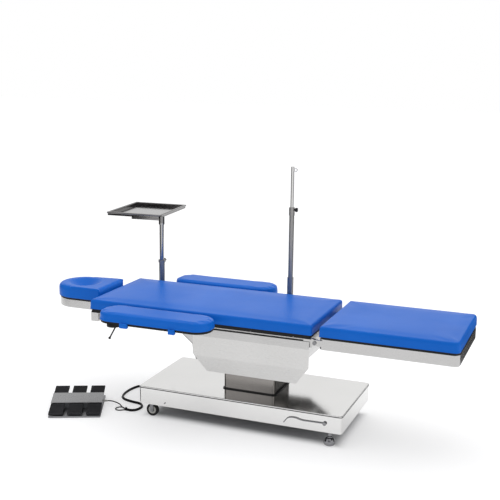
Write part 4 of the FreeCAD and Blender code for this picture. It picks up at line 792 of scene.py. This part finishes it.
# %% Rounded trim blocks and discs
def trim_block(bm, low, high, edge):
    """Adds a block between two corners, given in millimetres from the column, with round edges."""
    new = bmesh.ops.create_cube(bm, size=1)["verts"]
    bmesh.ops.scale(bm, vec=(Vector(high) - Vector(low)) * MM, verts=new)
    bmesh.ops.translate(bm, vec=(spot(*low) + spot(*high)) / 2, verts=new)
    edges = list({e for v in new for e in v.link_edges})
    bmesh.ops.bevel(bm, geom=edges, offset=edge * MM, segments=3, profile=0.5, affect="EDGES",
                    material=-1)


def trim_disc(bm, centre, radius, depth, edge):
    """Adds a disc that faces the side, centred on a point in millimetres from the column."""
    new = bmesh.ops.create_cone(bm, cap_ends=True, segments=32, radius1=radius * MM,
                                radius2=radius * MM, depth=depth * MM)["verts"]
    rims = [e for e in {e for v in new for e in v.link_edges}
            if abs(e.verts[0].co.z - e.verts[1].co.z) < 1e-6]
    done = bmesh.ops.bevel(bm, geom=rims, offset=edge * MM, segments=3, profile=0.5, affect="EDGES",
                           material=-1)
    whole = list({v for v in new if v.is_valid} | set(done["verts"]))
    turn = Vector((0, 0, 1)).rotation_difference(Vector((0, 1, 0))).to_matrix()
    bmesh.ops.rotate(bm, matrix=turn, verts=whole)
    bmesh.ops.translate(bm, vec=spot(*centre), verts=whole)


SIDES = (("front", -1), ("rear", 1))


def between(sign, inner, outer):
    """The two distances from the middle on one side of the table, lower one first."""
    return sorted((sign * inner, sign * outer))


# %% [markdown]
# A thin dark strip runs along each side of the main frame, just under the board, with a few small
# screws in it. The strip is a block that stands about a millimetre proud, because as a painted line it
# would have no edge of its own.

# %% Rail strips and their screws
STRIP_X, STRIP_Y, STRIP_Z = (-780, 350), (251.4, 253.2), (502, 509.5)
SCREW_XS, SCREW_Z = (-640, -140, 60, 268), 505.6
for side, sign in SIDES:
    y_low, y_high = between(sign, *STRIP_Y)
    strip = bmesh.new()
    trim_block(strip, (STRIP_X[0], y_low, STRIP_Z[0]), (STRIP_X[1], y_high, STRIP_Z[1]), 0.5)
    make_piece(f"rail_strip_{side}", strip, "table", board_black, smooth=False)
    screws = bmesh.new()
    for x in SCREW_XS:
        trim_disc(screws, (x, sign * STRIP_Y[1], SCREW_Z), 2.4, 1.6, 0.4)
    make_piece(f"rail_screws_{side}", screws, "table", steel_dull)
print("screws in each strip:", len(SCREW_XS))

# %% [markdown]
# Two short loops of the cushion's own vinyl hold a wrist strap under each arm board. They reach round
# the board's outer edge, so each is a block with well rounded edges that hides the board's edge.

# %% Strap loops of the arm boards
LOOPS = ((-513, 40), (-263, 32))
LOOP_Y, LOOP_Z, LOOP_EDGE = (438, 457.2), (506, 530), 3.5
for side, sign, shift in (("front", -1, 0), ("rear", 1, 10)):
    y_low, y_high = between(sign, *LOOP_Y)
    loops = bmesh.new()
    for x, width in LOOPS:
        low, high = (x + shift, y_low, LOOP_Z[0]), (x + shift + width, y_high, LOOP_Z[1])
        trim_block(loops, low, high, LOOP_EDGE)
    make_piece(f"strap_loops_{side}", loops, f"arm_{side}", vinyl_blue)
print("loops on each arm board:", len(LOOPS))

# %% [markdown]
# The lid of the base overhangs its sides by a millimetre or two. Just under its edge runs a painted
# dark line, which stands for the shade and the dark reflection along the lid's rounded edge. The line
# is a thin band that follows the lid's outline: a block with round corners that loses its floor and
# roof, and gets a wall a few tenths thick.

# %% Painted shade line round the base's lid
RIM_SHADE_DROP, RIM_SHADE_DEPTH, RIM_SHADE_PROUD, RIM_SHADE_WALL, RIM_SHADE_CORNER = 0.0045, 0.004, 0.0003, 0.0008, 0.0158
lid_low, lid_high = (Vector(v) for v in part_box("base_cover"))
rim_shade_top = lid_high.z - RIM_SHADE_DROP
rim_shade = bmesh.new()
bmesh.ops.create_cube(rim_shade, size=1)
rim_shade_size = Vector((lid_high.x - lid_low.x + 2 * RIM_SHADE_PROUD, lid_high.y - lid_low.y + 2 * RIM_SHADE_PROUD,
                    RIM_SHADE_DEPTH))
bmesh.ops.scale(rim_shade, vec=rim_shade_size, verts=rim_shade.verts)
lid_middle = (lid_low + lid_high) / 2
bmesh.ops.translate(rim_shade, vec=(lid_middle.x, lid_middle.y, rim_shade_top - RIM_SHADE_DEPTH / 2), verts=rim_shade.verts)
rim_shade_uprights = [e for e in rim_shade.edges if abs(e.verts[0].co.z - e.verts[1].co.z) > RIM_SHADE_DEPTH / 2]
bmesh.ops.bevel(rim_shade, geom=rim_shade_uprights, offset=RIM_SHADE_CORNER, segments=10, profile=0.5, affect="EDGES",
                material=-1)
rim_shade.normal_update()
bmesh.ops.delete(rim_shade, geom=[f for f in rim_shade.faces if abs(f.normal.z) > 0.5], context="FACES")
bmesh.ops.solidify(rim_shade, geom=rim_shade.faces[:], thickness=RIM_SHADE_WALL)
# a painted dark line: the shade and dark reflection along the lid's edge
make_piece("base_rim_shade", rim_shade, "base", plastic_black)
print("seam drawn at", round(rim_shade_top, 3))

# %% [markdown]
# The cowl round the tilting head is bent from one sheet and open at its sides. Two small cheeks of the
# same steel close the corners that show beside the skirts. Each is one flat outline, given a sheet's
# thickness by extruding it inwards.

# %% Cheeks that close the cowl's sides
CHEEK_OUTLINE = [(-325, 458.5), (-290, 428), (-253, 398), (-240, 398), (-236, 458.5)]
CHEEK_OUT, CHEEK_SHEET = 213.5, 1.5
for side, sign in SIDES:
    cheek = bmesh.new()
    cheek.faces.new([cheek.verts.new(spot(x, sign * CHEEK_OUT, z)) for x, z in CHEEK_OUTLINE])
    inner = bmesh.ops.extrude_face_region(cheek, geom=cheek.faces[:])["geom"]
    bmesh.ops.translate(cheek, vec=(0, -CHEEK_SHEET * sign * MM, 0),
                        verts=[v for v in inner if isinstance(v, bmesh.types.BMVert)])
    make_piece(f"cowl_cheek_{side}", cheek, "table", steel_frame, smooth=False)
print("cheek corners:", len(CHEEK_OUTLINE))

# %% [markdown]
# A cable tie holds the hank near the switch: a flat band round the strands, with the head and the cut
# end of the tie on top. The band is an open tube squeezed to an oval and given a wall.

# %% The hank's tie
TIE_MIDDLE, TIE_WIDTH, TIE_WALL = (-621, -208.6, 7.6), 9, 0.8
TIE_UP, TIE_ASIDE = 6.6, 7.4
tie = bmesh.new()
bmesh.ops.create_cone(tie, cap_ends=False, segments=32, radius1=1, radius2=1, depth=TIE_WIDTH * MM)
bmesh.ops.scale(tie, vec=(TIE_UP * MM, TIE_ASIDE * MM, 1), verts=tie.verts)
bmesh.ops.rotate(tie, matrix=Matrix.Rotation(math.radians(90), 3, "Y"), verts=tie.verts)
bmesh.ops.translate(tie, vec=spot(*TIE_MIDDLE), verts=tie.verts)
bmesh.ops.solidify(tie, geom=tie.faces[:], thickness=TIE_WALL * MM)
trim_block(tie, (-624, -209.6, 13.6), (-618, -207.6, 19), 0.6)
trim_block(tie, (-622, -212, 13.4), (-616, -205, 15.6), 0.8)
hank_tie = make_piece("hank_tie", tie, "base", plastic_black)
print("tie drawn at", TIE_MIDDLE)

# %% [markdown]
# A caster's rubber tyre sits on a pale plastic hub. Each hub shows on both faces of its wheel as a wide
# flat disc with a small boss on it, so two discs a face are enough.

# %% Caster hubs
AXLE_X, AXLE_Y, AXLE_Z = -469, 211, 31
# the hub and its boss: how far from the wheel's middle, radius and depth
HUB_DISCS = ((6.6, 20, 3.0), (8.8, 9, 2.2))
for side, sign in SIDES:
    hubs = bmesh.new()
    for face in (-1, 1):
        for out, radius, depth in HUB_DISCS:
            trim_disc(hubs, (AXLE_X, sign * AXLE_Y + face * out, AXLE_Z), radius, depth, 0.8)
    make_piece(f"caster_hub_{side}", hubs, f"caster_wheel_{side}", relief_pale)
print("hubs:", len(SIDES))

# %% [markdown]
# The front of the base carries a bent rod with a flat knob, taken to be the hand lever of the floor
# lock, and one screw. The rod is a curve with thickness, because such a lever is bent from wire.

# %% Lock lever and screw on the base's front
LEVER_OUT = -251.4
LEVER_LINE = [(229, 90), (240, 106), (253, 118), (286, 121), (314, 112), (350, 113), (424, 114)]
lever_places = [spot(x, LEVER_OUT, z) for x, z in LEVER_LINE]
lock_lever = draw_wire("lock_lever", lever_places, 2.2, steel_chrome, sides=3, fineness=6)
lock_lever.data.use_fill_caps = True
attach(lock_lever, "base")
KNOB_PLACE, SCREW_PLACE = (425, -252.5, 113), (-385, -250, 87)
knob = bmesh.new()
trim_disc(knob, KNOB_PLACE, 9, 6, 1.5)
trim_disc(knob, SCREW_PLACE, 3, 2.4, 0.6)
make_piece("lock_knob", knob, "base", steel_chrome)
print("lever bends:", len(LEVER_LINE))
